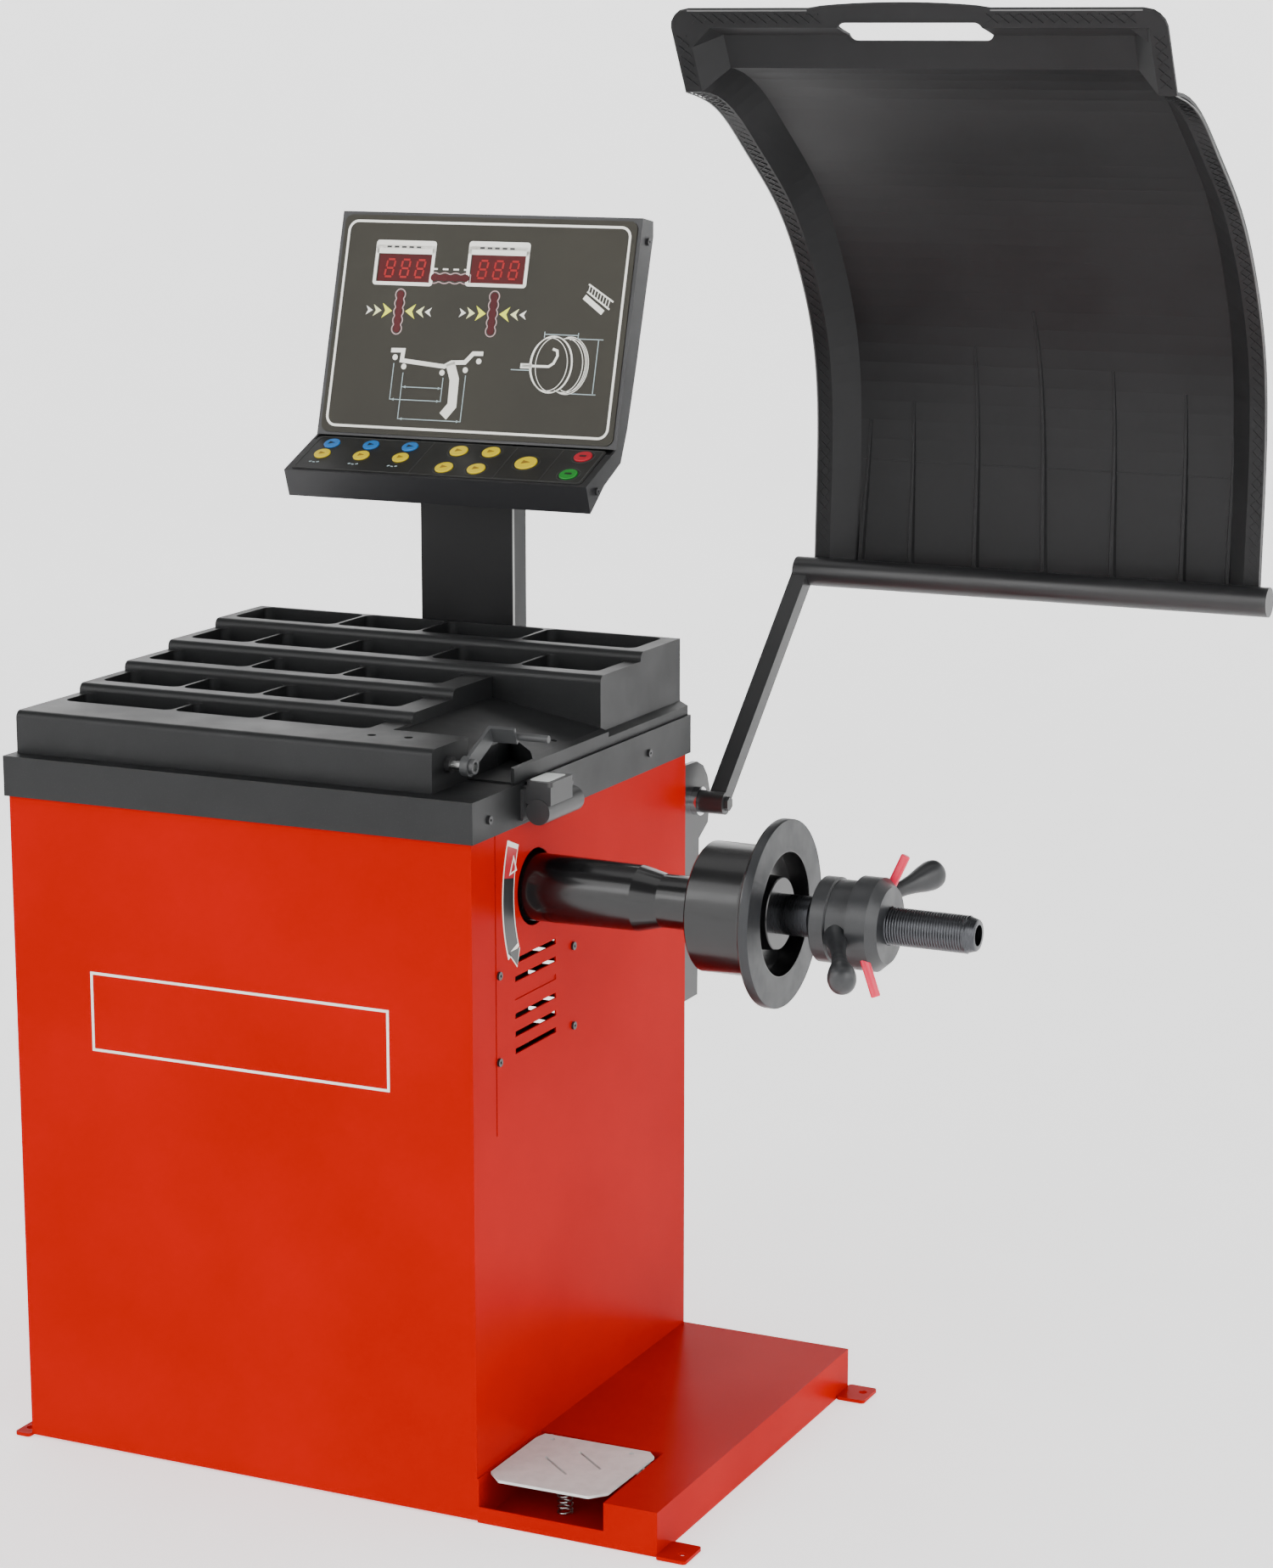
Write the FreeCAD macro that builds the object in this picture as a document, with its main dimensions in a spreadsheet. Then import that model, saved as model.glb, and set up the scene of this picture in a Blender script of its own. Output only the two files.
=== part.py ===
"""Wheel balancing machine, modelled as one solid per real piece.

Every shape is drawn in the cabinet's own corner: X to the right along the spindle, Y to the back,
Z up, from the front left foot of the cabinet. Each sub-part's Placement then moves it to the row
frame, whose origin is the middle of the four floor anchor holes, on the floor.
"""
import FreeCAD, Part
import math
import os
import re

import Sketcher
from FreeCAD import Placement, Rotation, Vector

os.makedirs("parts", exist_ok=True)
doc = FreeCAD.newDocument("wheel_balancer")

SIZES = {
    # cabinet, platform and floor anchors
    "cab_wide": 576, "cab_deep": 535, "cab_tall": 750, "sheet": 2, "step_wide": 214, "step_tall": 50,
    "anchor_left": -10, "anchor_right": 814, "anchor_front": 12, "anchor_back": 523, "anchor_bore": 5,
    "shaft_hole": 42.3, "well_deep": 151,
    # screws
    "head": 4.6, "head_tall": 2.6, "shank": 2, "grip": 9, "hex_key": 1.7,
    # weight tray
    "skirt_low": 750, "skirt_high": 795, "skirt_out": 4, "tray_wall": 4, "row_step": 10.5,
    "rim_low": 842, "pocket_deep": 36, "recess_left": 430, "box_right": 521, "tray_right": 566,
    "deck_high": 839, "deck_low": 814.5,
    # spindle: radii, and distances from the cabinet's right face
    "axis_y": 146.8, "axis_z": 674.1, "journal": 15, "neck": 28.8, "seat": 21.5, "thread": 20,
    "thread_end": 506, "drum": 69.5, "flange": 99.5, "flange_face": 292, "flange_rim": 11.5,
    "flange_recess": 65.5, "hub_nose": 38.5, "tube": 34, "race": 31, "cover": 36.8,
    "flange_bolt_ring": 87.5, "flange_bolt": 3.5, "run_fit": 0.05,
    # drive and brake
    "pulley": 60, "motor_pulley": 25, "motor_z": 490, "belt": 3, "brake_rim": 63, "brake_z": 595,
    "pedal_y": 136, "pedal_z": 36, "pedal_shaft": 6, "pedal_top": 52,
    # quick nut
    "cup_start": 336, "cup_end": 354, "nut_end": 410, "cup": 45, "nut": 49,
    # hood
    "pivot_y": 563.6, "pivot_z": 687.8, "hood_left": 611, "hood_right": 1171, "hood_skin": 4,
    "hood_flare": 27, "hood_rim": 20, "tube_y": 819.5, "tube_z": 928.3, "hood_tube": 17.5,
    "arm_near": 595, "arm_side": 20, "tube_end": 1184, "bush": 17,
    # display
    "screen_left": 84, "screen_right": 484, "post_left": 222.5, "post_right": 347, "post_front": 545,
    "post_deep": 32, "film": 0.8,
    # gauge
    "gauge_y": 53, "gauge_z": 820.5, "gauge_rod": 5,
}

sheet = doc.addObject("Spreadsheet::Sheet", "dims")
for number, (alias, size) in enumerate(SIZES.items(), start=1):
    sheet.set(f"A{number}", alias)
    sheet.set(f"B{number}", str(size))
    sheet.setAlias(f"B{number}", alias)
doc.recompute()

NODES = []
X, Y, Z = Vector(1, 0, 0), Vector(0, 1, 0), Vector(0, 0, 1)


# ---------------------------------------------------------------- helpers
def cell(expression):
    """Point every size name in an expression at its cell of the sheet."""
    return re.sub(r"[A-Za-z_]\w*", lambda m: f"dims.{m[0]}" if m[0] in SIZES else m[0], str(expression))


def size(expression):
    """The present value of an expression, in millimetres, worked out in a spare cell."""
    sheet.set("D1", f"=0 + {expression}")
    sheet.recompute()
    return float(sheet.get("D1"))


def bind(thing, **sizes):
    """Bind properties of an object to expressions of the sheet."""
    for prop, expression in sizes.items():
        thing.setExpression(prop, cell(expression))
    return thing


def move(thing, x, y, z):
    """Bind the place of an object."""
    for letter, expression in zip("xyz", (x, y, z)):
        thing.setExpression(f"Placement.Base.{letter}", cell(expression))
    return thing


def turn_to(direction):
    """The rotation that brings +Z onto a direction."""
    return Rotation(Z, Vector(direction))


def box(at, span):
    """A block from its low corner and its three sizes."""
    block = doc.addObject("Part::Box", "block")
    bind(block, Length=span[0], Width=span[1], Height=span[2])
    return move(block, *at)


def rod(at, radius, length, direction=X):
    """A cylinder from the middle of its first end."""
    cylinder = doc.addObject("Part::Cylinder", "rod")
    cylinder.Placement = Placement(Vector(), turn_to(direction))
    bind(cylinder, Radius=radius, Height=length)
    return move(cylinder, *at)


def taper(at, radius1, radius2, length, direction=X):
    """A cone from the middle of its first end."""
    cone = doc.addObject("Part::Cone", "taper")
    cone.Placement = Placement(Vector(), turn_to(direction))
    bind(cone, Radius1=radius1, Radius2=radius2, Height=length)
    return move(cone, *at)


def ball(at, radius):
    """A sphere round a point."""
    sphere = doc.addObject("Part::Sphere", "ball")
    bind(sphere, Radius=radius)
    return move(sphere, *at)


def join(*shapes):
    """One solid made of several that touch, or a group of solids that don't."""
    union = doc.addObject("Part::MultiFuse", "join")
    union.Shapes = list(shapes)
    union.Refine = True
    return union


def cut(base, *tools):
    """A solid with the tools taken away."""
    result = doc.addObject("Part::Cut", "cut")
    result.Base = base
    result.Tool = tools[0] if len(tools) == 1 else join(*tools)
    result.Refine = True
    return result


def ring(at, outer, inner, length, direction=X):
    """A tube: one cylinder with a bore."""
    return cut(rod(at, outer, length, direction), rod(at, inner, length, direction))


def node(name, thing):
    """Name a finished sub-part and place it in the row frame."""
    thing.Label = name
    move(thing, "-(anchor_left + anchor_right) / 2", "-(anchor_front + anchor_back) / 2", "0")
    NODES.append(thing)
    return thing


def drawn(body, plane, points, name="outline"):
    """A sketch of a closed outline whose corners are bound to the sheet."""
    outline = body.newObject("Sketcher::SketchObject", name)
    support = [item for item in body.Origin.OriginFeatures if item.Role == plane][0]
    outline.AttachmentSupport = [(support, "")]
    outline.MapMode = "FlatFace"
    corners = [Vector(size(u), size(v), 0) for u, v in points]
    count = len(corners)
    for index, corner in enumerate(corners):
        outline.addGeometry(Part.LineSegment(corner, corners[(index + 1) % count]))
    for index in range(count):
        outline.addConstraint(Sketcher.Constraint("Coincident", index, 2, (index + 1) % count, 1))
    for index, (across, along) in enumerate(points):
        for kind, expression in (("DistanceX", across), ("DistanceY", along)):
            value = size(expression)
            made = outline.addConstraint(Sketcher.Constraint(kind, -1, 1, index, 1, value))
            if not re.fullmatch(r"-?[\d.]+", str(expression)):
                outline.setExpression(f"Constraints[{made}]", cell(expression))
    return outline


def padded(name, plane, points, length, start="0"):
    """A body padded from an outline, the pad starting at a distance from the plane."""
    body = doc.addObject("PartDesign::Body", name)
    outline = drawn(body, plane, points)
    outline.setExpression("AttachmentOffset.Base.z", cell(start))
    pad = body.newObject("PartDesign::Pad", "pad")
    pad.Profile = outline
    bind(pad, Length=length)
    return body


def turned(name, points):
    """A body of revolution about the X axis, drawn as (x, radius) corners."""
    body = doc.addObject("PartDesign::Body", name)
    outline = drawn(body, "XY_Plane", points)
    lathe = body.newObject("PartDesign::Revolution", "lathe")
    lathe.Profile = outline
    lathe.ReferenceAxis = (outline, ["H_Axis"])
    lathe.Angle = 360
    return body


def spindle_node(name, thing):
    """Name a piece drawn on the spindle's axis, x being measured from the cabinet's right face."""
    thing.Label = name
    move(thing, "cab_wide - (anchor_left + anchor_right) / 2",
         "axis_y - (anchor_front + anchor_back) / 2", "axis_z")
    NODES.append(thing)
    return thing


def side_profile(name, points, left, right):
    """A prism whose outline is drawn in Y and Z, running along X from left to right."""
    return padded(name, "YZ_Plane", points, f"({right}) - ({left})", left)


def rounded(thing, radius, chosen):
    """Round the edges of a solid that a test picks by the two ends and the middle."""
    doc.recompute()
    edges = [i for i, edge in enumerate(thing.Shape.Edges, start=1) if chosen(edge)]
    fillet = doc.addObject("Part::Fillet", "rounded")
    fillet.Base = thing
    fillet.Edges = [(i, radius, radius) for i in edges]
    return fillet


def upright(edge):
    """True for a straight vertical edge."""
    return (len(edge.Vertexes) == 2
            and abs(abs(edge.tangentAt(edge.FirstParameter).z) - 1) < 1e-6)


# ---------------------------------------------------------------- screws
def group(*shapes):
    """Separate solids kept together, such as a set of equal screws."""
    compound = doc.addObject("Part::Compound", "group")
    compound.Links = list(shapes)
    return compound


def screw(at, out):
    """A button-head screw on a surface, its hexagon socket facing out of it."""
    inwards = tuple(-part for part in out)
    blank = join(rod(at, "head", "head_tall", out), rod(at, "shank", "grip", inwards))
    socket = doc.addObject("Part::Prism", "socket")
    socket.Placement = Placement(Vector(), turn_to(out))
    bind(socket, Circumradius="hex_key", Height="head_tall")
    move(socket, *[f"{place} + {part} * 1.1" for place, part in zip(at, out)])
    return cut(blank, socket)


def screw_hole(at, out):
    """The clearance hole of one screw."""
    inwards = tuple(-part for part in out)
    return rod([f"{place} + {part}" for place, part in zip(at, out)], "shank + run_fit", "grip + 2", inwards)


SIDE_SCREWS = [(("cab_wide", y, z), (1, 0, 0)) for y, z in ((60, 595), (59, 500), (237, 587), (237, 496))]
SKIRT_SCREWS = [(("cab_wide + skirt_out", y, "skirt_low + 20"), (1, 0, 0)) for y in (33, 426)]
SCREEN_SCREWS = [(("screen_right", y, z), (1, 0, 0)) for y, z in ((627, 1334), (488, 1057))]
COVER_SCREWS = [((x, "cab_deep + 1.5", z), (0, 1, 0)) for x in (70, 490) for z in (70, 310, 550)]
BRACKET_SCREWS = [((x, "cab_deep + 4", z), (0, 1, 0)) for x in (530, 556) for z in (470, 600)]
POST_SCREWS = [((x, "post_front + post_deep", z), (0, 1, 0)) for x in (252, 317) for z in (625, 715)]


# ---------------------------------------------------------------- cabinet and platform
def cabinet_shell():
    """The closed sheet steel box, with its shaft hole, vents, seam and screw holes."""
    skin = box((0, 0, 2), ("cab_wide", "cab_deep", "cab_tall - 2"))
    room = box(("sheet", "sheet", "2 + sheet"),
               ("cab_wide - 2 * sheet", "cab_deep - 2 * sheet", "cab_tall - 2 - 2 * sheet"))
    holes = [rod(("cab_wide - 10", "axis_y", "axis_z"), "shaft_hole", 20)]
    holes += [box(("cab_wide - 5", 98, z), (10, 97, 6)) for z in (499, 518, 538, 579, 599)]
    holes.append(box(("cab_wide - 1", 98, 559), (10, 97, 6)))
    holes.append(box(("cab_wide - 1", 52, 419), (10, 2.5, 340)))
    holes.append(box((100, "cab_deep - 10", 100), (360, 20, 420)))
    holes.append(rod(("cab_wide - 10", "pedal_y", "pedal_z"), "pedal_shaft + 2", 20))
    holes += [screw_hole(*place) for place in SIDE_SCREWS + COVER_SCREWS + BRACKET_SCREWS]
    return cut(skin, room, *holes)


def rear_cover():
    """The service panel on the back, with cooling slots and the cut-out of the mains module."""
    panel = box((60, "cab_deep", 60), (440, 1.5, 500))
    slots = [box((150, "cab_deep - 5", z), (260, 10, 5)) for z in range(400, 521, 15)]
    inlet = box((390, "cab_deep - 5", 122), (48, 10, 56))
    return cut(panel, inlet, *slots, *[screw_hole(*place) for place in COVER_SCREWS])


def base_platform():
    """The low box beside the cabinet, open at its front corner over the brake pedal."""
    block = box(("cab_wide", 0, 0), ("step_wide", "cab_deep", "step_tall"))
    rooms = [
        box(("cab_wide + 153", "sheet", "sheet"),
            ("step_wide - 155", "cab_deep - 2 * sheet", "step_tall - 2 * sheet")),
        box(("cab_wide + sheet", "well_deep + sheet", "sheet"),
            ("149", "cab_deep - well_deep - 2 * sheet", "step_tall - 2 * sheet")),
        box(("cab_wide + sheet", "sheet", "sheet"), (149, "well_deep - sheet", "step_tall")),
        box(("cab_wide + sheet", -1, 18), (149, 5, "step_tall")),
        rod(("cab_wide - 5", "pedal_y", "pedal_z"), "pedal_shaft + 0.3", 10),
    ]
    return cut(block, *rooms)


def anchor_tabs():
    """Four welded feet with the holes of the floor anchors."""
    tabs = []
    for y, hole in (("anchor_front - 18", "anchor_front"), ("anchor_back - 26", "anchor_back")):
        for x, wide, middle in (("anchor_left - 10", 20, "anchor_left"),
                                ("cab_wide + step_wide", 35, "anchor_right")):
            plate = rounded(box((x, y, 0), (wide, 44, 4)), 4, upright)
            tabs.append(cut(plate, rod((middle, hole, -1), "anchor_bore", 6, Z)))
    return group(*tabs)


# ---------------------------------------------------------------- weight tray
FRONTS = (18, 143, 236, 329, 434)
POCKETS = (  # front, back and the middles of the dividers, each ending at the last pocket's right wall
    (92, 143, (154, 265, 402)),
    (168, 236, (117, 219, 318, 398)),
    (262, 329, (148, 268, 398)),
    (355, 434, (96, 205, 333, 448, 549)),
    (455, 536, (152, 265, 397, 547)),
)


def rim(row):
    """The height of a row's rim."""
    return f"(rim_low + {row} * row_step)"


def stair(rows, back, left, right, name):
    """The steps of some rows as one prism, their front edges rounded."""
    outline = [(FRONTS[rows[0]], "skirt_high")]
    for row in rows:
        outline.append((FRONTS[row], rim(row)))
        outline.append((FRONTS[row + 1] if row != rows[-1] else back, rim(row)))
    outline.append((back, "skirt_high"))
    prism = side_profile(name, outline, left, right)
    doc.recompute()
    nose = [(FRONTS[row], size(rim(row))) for row in rows]
    return rounded(prism, 8, lambda edge: len(edge.Vertexes) == 2 and any(
        all(abs(v.Point.y - y) < 0.01 and abs(v.Point.z - z) < 0.01 for v in edge.Vertexes)
        for y, z in nose))


def weight_tray():
    """The moulded tray: skirt, five steps of pockets, sloping deck and the gauge's notch."""
    skirt = box(("-skirt_out", "-skirt_out", "skirt_low"),
                ("cab_wide + 2 * skirt_out", "cab_deep + skirt_out + 6", "skirt_high - skirt_low"))
    low = stair((0, 1, 2), 329, "0", "recess_left", "low_rows")
    high = stair((3, 4), 541, "0", "tray_right", "high_rows")
    ledge = box(("recess_left", 18, "skirt_high"), ("box_right - recess_left", 81, "rim_low - skirt_high"))
    ledge = rounded(ledge, 8, lambda edge: all(v.Point.y == 18 and v.Point.z > 841 for v in edge.Vertexes))
    deck = padded("deck", "XZ_Plane", [
        ("recess_left", "skirt_high"), ("recess_left", "deck_high"), ("tray_right + 2", "deck_low"),
        ("cab_wide", "deck_low - 3"), ("cab_wide", "skirt_high")], 230, "-329")
    edge = padded("deck_edge", "XZ_Plane", [
        ("tray_right - 4", "skirt_high"), ("tray_right - 4", "deck_low - 2"), ("cab_wide", "deck_low - 9"),
        ("cab_wide", "skirt_high")], 212, "-541")
    notch = padded("notch", "XY_Plane", [
        ("box_right", -5), ("box_right", 165), ("box_right - 6", 208), ("box_right + 37", 172),
        ("tray_right + 6", 150), ("tray_right + 6", -5)], 60, "skirt_high + 2")
    hollows = [box(("tray_wall", "tray_wall", "skirt_low - 1"),
                   ("cab_wide - 2 * tray_wall", "cab_deep - tray_wall", "skirt_high - skirt_low - 3"))]
    for row, (front, back, ends) in enumerate(POCKETS):
        right = "recess_left" if row < 3 else "tray_right"
        hollows.append(box(("tray_wall", f"{FRONTS[row]} + tray_wall", "skirt_low"),
                           (f"{right} - 2 * tray_wall", f"{front - FRONTS[row]} - 2 * tray_wall",
                            f"{rim(row)} - tray_wall - skirt_low")))
        if row:
            hollows.append(box(("tray_wall", front, "skirt_low"),
                               (f"{ends[-1]}", f"{back - front + 4} - 2 * tray_wall",
                                f"{rim(row)} - pocket_deep - tray_wall - skirt_low")))
    hollows.append(box(("recess_left - tray_wall", 22, "skirt_low"), ("box_right - recess_left", 66, 88)))
    hollows.append(box(("recess_left + tray_wall", 103, "skirt_low"), (72, 222, 66)))
    pockets = []
    for row, (front, back, ends) in enumerate(POCKETS):
        left = 12
        for index, end in enumerate(ends):
            right = end - 2 if index < len(ends) - 1 else end
            space = box((left, front, f"{rim(row)} - pocket_deep"), (right - left, back - front, 60))
            pockets.append(rounded(space, 11, upright))
            left = end + 2
    holes = [rod((424, 63.5, 830), 5, 20, Z), rod((466, 68, 830), 5, 20, Z), rod((555, 234, 806), 4, 20, Z),
             rod(("box_right - 10", "gauge_y", "gauge_z"), 9, 20)]
    holes += [screw_hole(*place) for place in SKIRT_SCREWS]
    whole = join(skirt, low, high, ledge, deck, edge)
    return cut(cut(whole, notch, *hollows), *pockets, *holes)


# ---------------------------------------------------------------- spindle and its drive
def shaft_cover():
    """The tapered tube over the spindle housing, passing free through the shaft hole."""
    return turned("shaft_cover", [
        (-40, "tube"), (-40, "cover + 0.2"), (30, "cover"), (127, "cover - 1.3"), (155, "neck"),
        (205, "neck"), (205, "neck - 3"), (154, "neck - 3"), (126, "tube - 1"), (96, "tube - 1"),
        (96, "tube")])


def spindle_housing():
    """The tube that carries the shaft, with a bearing seat at each end."""
    return turned("spindle_housing", [
        (-200, "race"), (-200, "tube"), (95, "tube"), (95, "race"), (75, "race"), (75, "race - 5"),
        (-180, "race - 5"), (-180, "race")])


def main_shaft():
    """The balancing shaft: journal, plain seat, undercut, the long thread with its relief, end bore."""
    return turned("main_shaft", [
        (-300, 0), (-300, "journal - 1"), (-299, "journal"), (206, "journal"), (206, "seat"),
        (325, "seat"), (325, "thread - 1.5"), (330.5, "thread - 1.5"), (330.5, "thread"),
        (414, "thread"), (414, "thread - 0.5"), (416, "thread - 0.5"), (416, "thread"),
        ("thread_end - 10", "thread"), ("thread_end", "thread - 4"), ("thread_end", 11),
        ("thread_end - 30", 11), ("thread_end - 34", 0)])


def wheel_flange():
    """The drum and the flange that the wheel is clamped against, bored on the shaft's seat."""
    blank = turned("flange_blank", [
        (206, "seat"), (206, "drum - 2"), (208, "drum"), (266, "drum"), (269, "drum + 1"),
        (279, "flange - 5"), ("flange_face - flange_rim", "flange - 1"),
        ("flange_face - flange_rim + 1", "flange"), ("flange_face - 1", "flange"),
        ("flange_face", "flange - 1"), ("flange_face", "flange_recess"),
        ("flange_face - 20", "flange_recess - 2"), ("flange_face - 20", "hub_nose + 1"),
        ("flange_face - 6", "hub_nose"), ("flange_face - 5", "hub_nose - 1"),
        ("flange_face - 5", "seat")])
    bores = []
    for angle in (96, 280):
        away = math.radians(angle)
        bores.append(rod(("flange_face - 12", f"flange_bolt_ring * {math.cos(away):.5f}",
                          f"flange_bolt_ring * {math.sin(away):.5f}"), "flange_bolt", 20))
    return cut(blank, *bores)


def shaft_pulley():
    """The belt pulley on the shaft, with two flanges and the brake rim beside them."""
    return turned("shaft_pulley", [
        (-250, "journal"), (-250, "pulley + 3"), (-247, "pulley + 3"), (-247, "pulley"),
        (-226, "pulley"), (-226, "brake_rim"), (-208, "brake_rim"), (-208, "brake_rim - 6"),
        (-221, "brake_rim - 6"), (-221, "journal")])


def spindle_bearings():
    """Two deep groove bearings, each as its two rings and the balls between them."""
    rings = []
    for start in (-198, 77):
        outer = ring((start, 0, 0), "race", "race - 4.5", 16)
        inner = ring((start, 0, 0), "journal + 4", "journal + 0.3", 16)
        rings += [outer, inner]
        for number in range(9):
            turn = math.radians(40 * number)
            rings.append(ball((start + 8, f"22.75 * {math.cos(turn):.5f}", f"22.75 * {math.sin(turn):.5f}"),
                              3.7))
    return group(*rings)


def encoder_disc():
    """The slotted disc that gives the shaft's angle."""
    disc = ring((-290, 0, 0), 45, "journal", 3)
    slots = []
    for number in range(24):
        turn = math.radians(15 * number)
        slots.append(rod((-292, f"39 * {math.cos(turn):.5f}", f"39 * {math.sin(turn):.5f}"), 2, 8))
    return cut(disc, *slots)


def spindle_bracket():
    """The frame inside the cabinet: two plates that hold the housing, a shelf and its legs."""
    low = "axis_y - 60"
    parts = [box((x, low, "2 + sheet"), (10, 120, "axis_z + 48 - sheet")) for x in (386, 526)]
    parts += [box((386, low, 550), (150, 120, 10)), box((380, low, "2 + sheet"), (162, 120, 8))]
    stud = rod((350, 100, "brake_z"), 5, 36)
    frame = join(*parts, stud)
    return cut(frame, rod((360, "axis_y", "axis_z"), "tube", 200), rod((380, "axis_y", "motor_z"), 12, 20),
               rod((370, "pedal_y", "pedal_z"), "pedal_shaft + run_fit", 180))


def force_sensors():
    """Two load cells standing on the shelf under the spindle housing."""
    return group(*[rod((x, "axis_y", 560), 11, "axis_z - tube - 560", Z) for x in (430, 490)])


def drive_motor():
    """The electric motor on the bracket's left plate, with its terminal box and cooling fins."""
    body = join(rod((396, "axis_y", "motor_z"), 50, 110), rod((506, "axis_y", "motor_z"), 40, 12),
                box((420, "axis_y + 44", "motor_z - 20"), (60, 22, 40)))
    fins = [ring((x, "axis_y", "motor_z"), 60, 47, 3) for x in (412, 484, 492, 500)]
    return cut(body, rod((395, "axis_y", "motor_z"), 7.5, 60), *fins)


def motor_pulley():
    """The small pulley and the motor's own shaft, in one turning piece."""
    return join(rod((320, "axis_y", "motor_z"), 7, 130), rod((326, "axis_y", "motor_z"), 28, 3),
                rod((329, "axis_y", "motor_z"), "motor_pulley", 21), rod((350, "axis_y", "motor_z"), 28, 3))


def belt_hull(name, extra, left, wide):
    """Two discs and their outer tangents as one prism, grown by extra all round."""
    tall = size("axis_z - motor_z")
    rise = (size("pulley") - size("motor_pulley")) / tall
    run = math.sqrt(1 - rise * rise)
    big, small = f"(pulley + {extra})", f"(motor_pulley + {extra})"
    web = side_profile(name, [
        (f"axis_y + {big} * {run:.6f}", f"axis_z + {big} * {rise:.6f}"),
        (f"axis_y + {small} * {run:.6f}", f"motor_z + {small} * {rise:.6f}"),
        (f"axis_y - {small} * {run:.6f}", f"motor_z + {small} * {rise:.6f}"),
        (f"axis_y - {big} * {run:.6f}", f"axis_z + {big} * {rise:.6f}")], left, f"{left} + {wide}")
    return join(web, rod((left, "axis_y", "axis_z"), big, wide), rod((left, "axis_y", "motor_z"), small, wide))


def drive_belt():
    """The flat ribbed belt round both pulleys."""
    return cut(belt_hull("belt_outside", "belt", "330", 19), belt_hull("belt_inside", "0.3", "329", 21))


def circuit_boards():
    """The power board in the cabinet, the display's board and the reader of the encoder disc."""
    power = join(box(("sheet", 180, 250), (8, 8, 8)), box(("sheet", 380, 420), (8, 8, 8)),
                 box((10, 160, 230), (2, 240, 220)), box((12, 180, 260), (40, 60, 70)),
                 box((12, 280, 260), (25, 90, 50)), box((12, 200, 370), (18, 140, 40)))
    display = tilted(box((30, 40, -9), (330, 200, 1.6)), *FACE)
    side = "axis_y - 10"
    reader = join(box((274, side, "axis_z + 30"), (8, 20, 26)), box((292, side, "axis_z + 30"), (8, 20, 26)),
                  box((274, side, "axis_z + 50"), (26, 20, 16)), box((274, side, "axis_z + 66"), (112, 20, 3)),
                  box((381, side, "axis_z + 40"), (5, 20, 27)))
    return group(power, display, reader)


def power_inlet():
    """The mains module on the rear panel: flange, body, three pins and the frame of the switch."""
    flange = box((386, "cab_deep + 1.5", 118), (56, 3, 64))
    body = box((390.2, "cab_deep - 24", 122.2), (47.6, 26, 55.6))
    socket = rounded(box((400, "cab_deep - 14", 126), (28, 30, 20)), 3, lambda edge: len(edge.Vertexes) == 2
                     and abs(abs(edge.tangentAt(edge.FirstParameter).y) - 1) < 1e-6)
    seat = box((403, "cab_deep - 14", 153.5), (22, 30, 21))
    pins = [box((x, "cab_deep - 15", z), (2, 13, 4)) for x, z in ((407, 137), (413, 131), (419, 137))]
    return join(cut(join(flange, body), socket, seat), *pins)


def power_switch():
    """The rocker of the mains switch, pivoted across its middle."""
    rocker = side_profile("rocker", [
        ("cab_deep - 3", 155), ("cab_deep + 4", 154.8), ("cab_deep + 3.2", 164), ("cab_deep + 6", 172.4),
        ("cab_deep - 3", 172.4)], 403.5, 424.5)
    return group(join(rocker, rod((403.5, "cab_deep - 3", 164), 2, 21)))


# ---------------------------------------------------------------- display
FACE = ("screen_left", 540, 1099, 74.28)
DECK = ("screen_left", 461, 1065, 23.29)
KEYS = {
    "key_blue_1": (32.7, 21.7, 10), "key_blue_2": (85.6, 20.8, 10), "key_blue_3": (138.2, 19.9, 10),
    "key_small_1": (32.1, 46.4, 10), "key_small_2": (85.1, 46, 10), "key_small_3": (138.1, 45.7, 10),
    "key_yellow_1": (205.3, 23.2, 11), "key_yellow_2": (247.4, 21.6, 11), "key_yellow_3": (204.5, 62.4, 11),
    "key_yellow_4": (246.4, 61.2, 11), "key_start": (302.6, 41.8, 13.5), "key_stop": (367, 20.5, 11),
    "key_enter": (366.7, 61.9, 11),
}


def tilted(thing, x, y, z, angle):
    """A piece drawn flat, moved to a panel's lower left corner and tilted about X."""
    holder = group(thing)
    holder.Placement = Placement(Vector(), Rotation(X, angle))
    return move(holder, x, y, z)


def display_post():
    """The square post behind the tray, closed at its foot by the spacer to the cabinet."""
    post = cut(box(("post_left", "post_front", 600), ("post_right - post_left", "post_deep", 508)),
               box(("post_left + 3", "post_front + 3", 603), ("post_right - post_left - 6",
                                                              "post_deep - 6", 502)))
    foot = box(("post_left", "cab_deep", 600), ("post_right - post_left", "post_front - cab_deep", 140))
    return cut(join(post, foot), *[screw_hole(*place) for place in POST_SCREWS])


HOUSING = [(540, 1099), (614, 1362), (642, 1357), (642, 1339), (596, 1194), (571, 1121), (553, 1083),
           (508, 1061), (488, 1045), (472, 1033), (461, 1065)]
HOLLOW = [(543, 1101), (616, 1358.5), (639, 1354.5), (639, 1339.5), (593, 1195), (568, 1122), (551, 1086),
          (507, 1064.5), (487, 1049), (473.5, 1038.5), (465.5, 1063.5)]


def display_housing():
    """The thin housing of the display, open at its face, with a round hole under each key."""
    shell = cut(side_profile("housing", HOUSING, "screen_left", "screen_right"),
                side_profile("hollow", HOLLOW, "screen_left + 3", "screen_right - 3"))
    mouth = tilted(box((14, 12, -6), (372, 249, 12)), *FACE)
    wells = [tilted(rod((u, f"86 - {v}", -12), f"{r} + 0.4", 30, Z), *DECK) for u, v, r in KEYS.values()]
    post = box(("post_left", "post_front", 1000), ("post_right - post_left", "post_deep", 108))
    return cut(shell, mouth, post, *wells, *[screw_hole(*place) for place in SCREEN_SCREWS])


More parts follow.
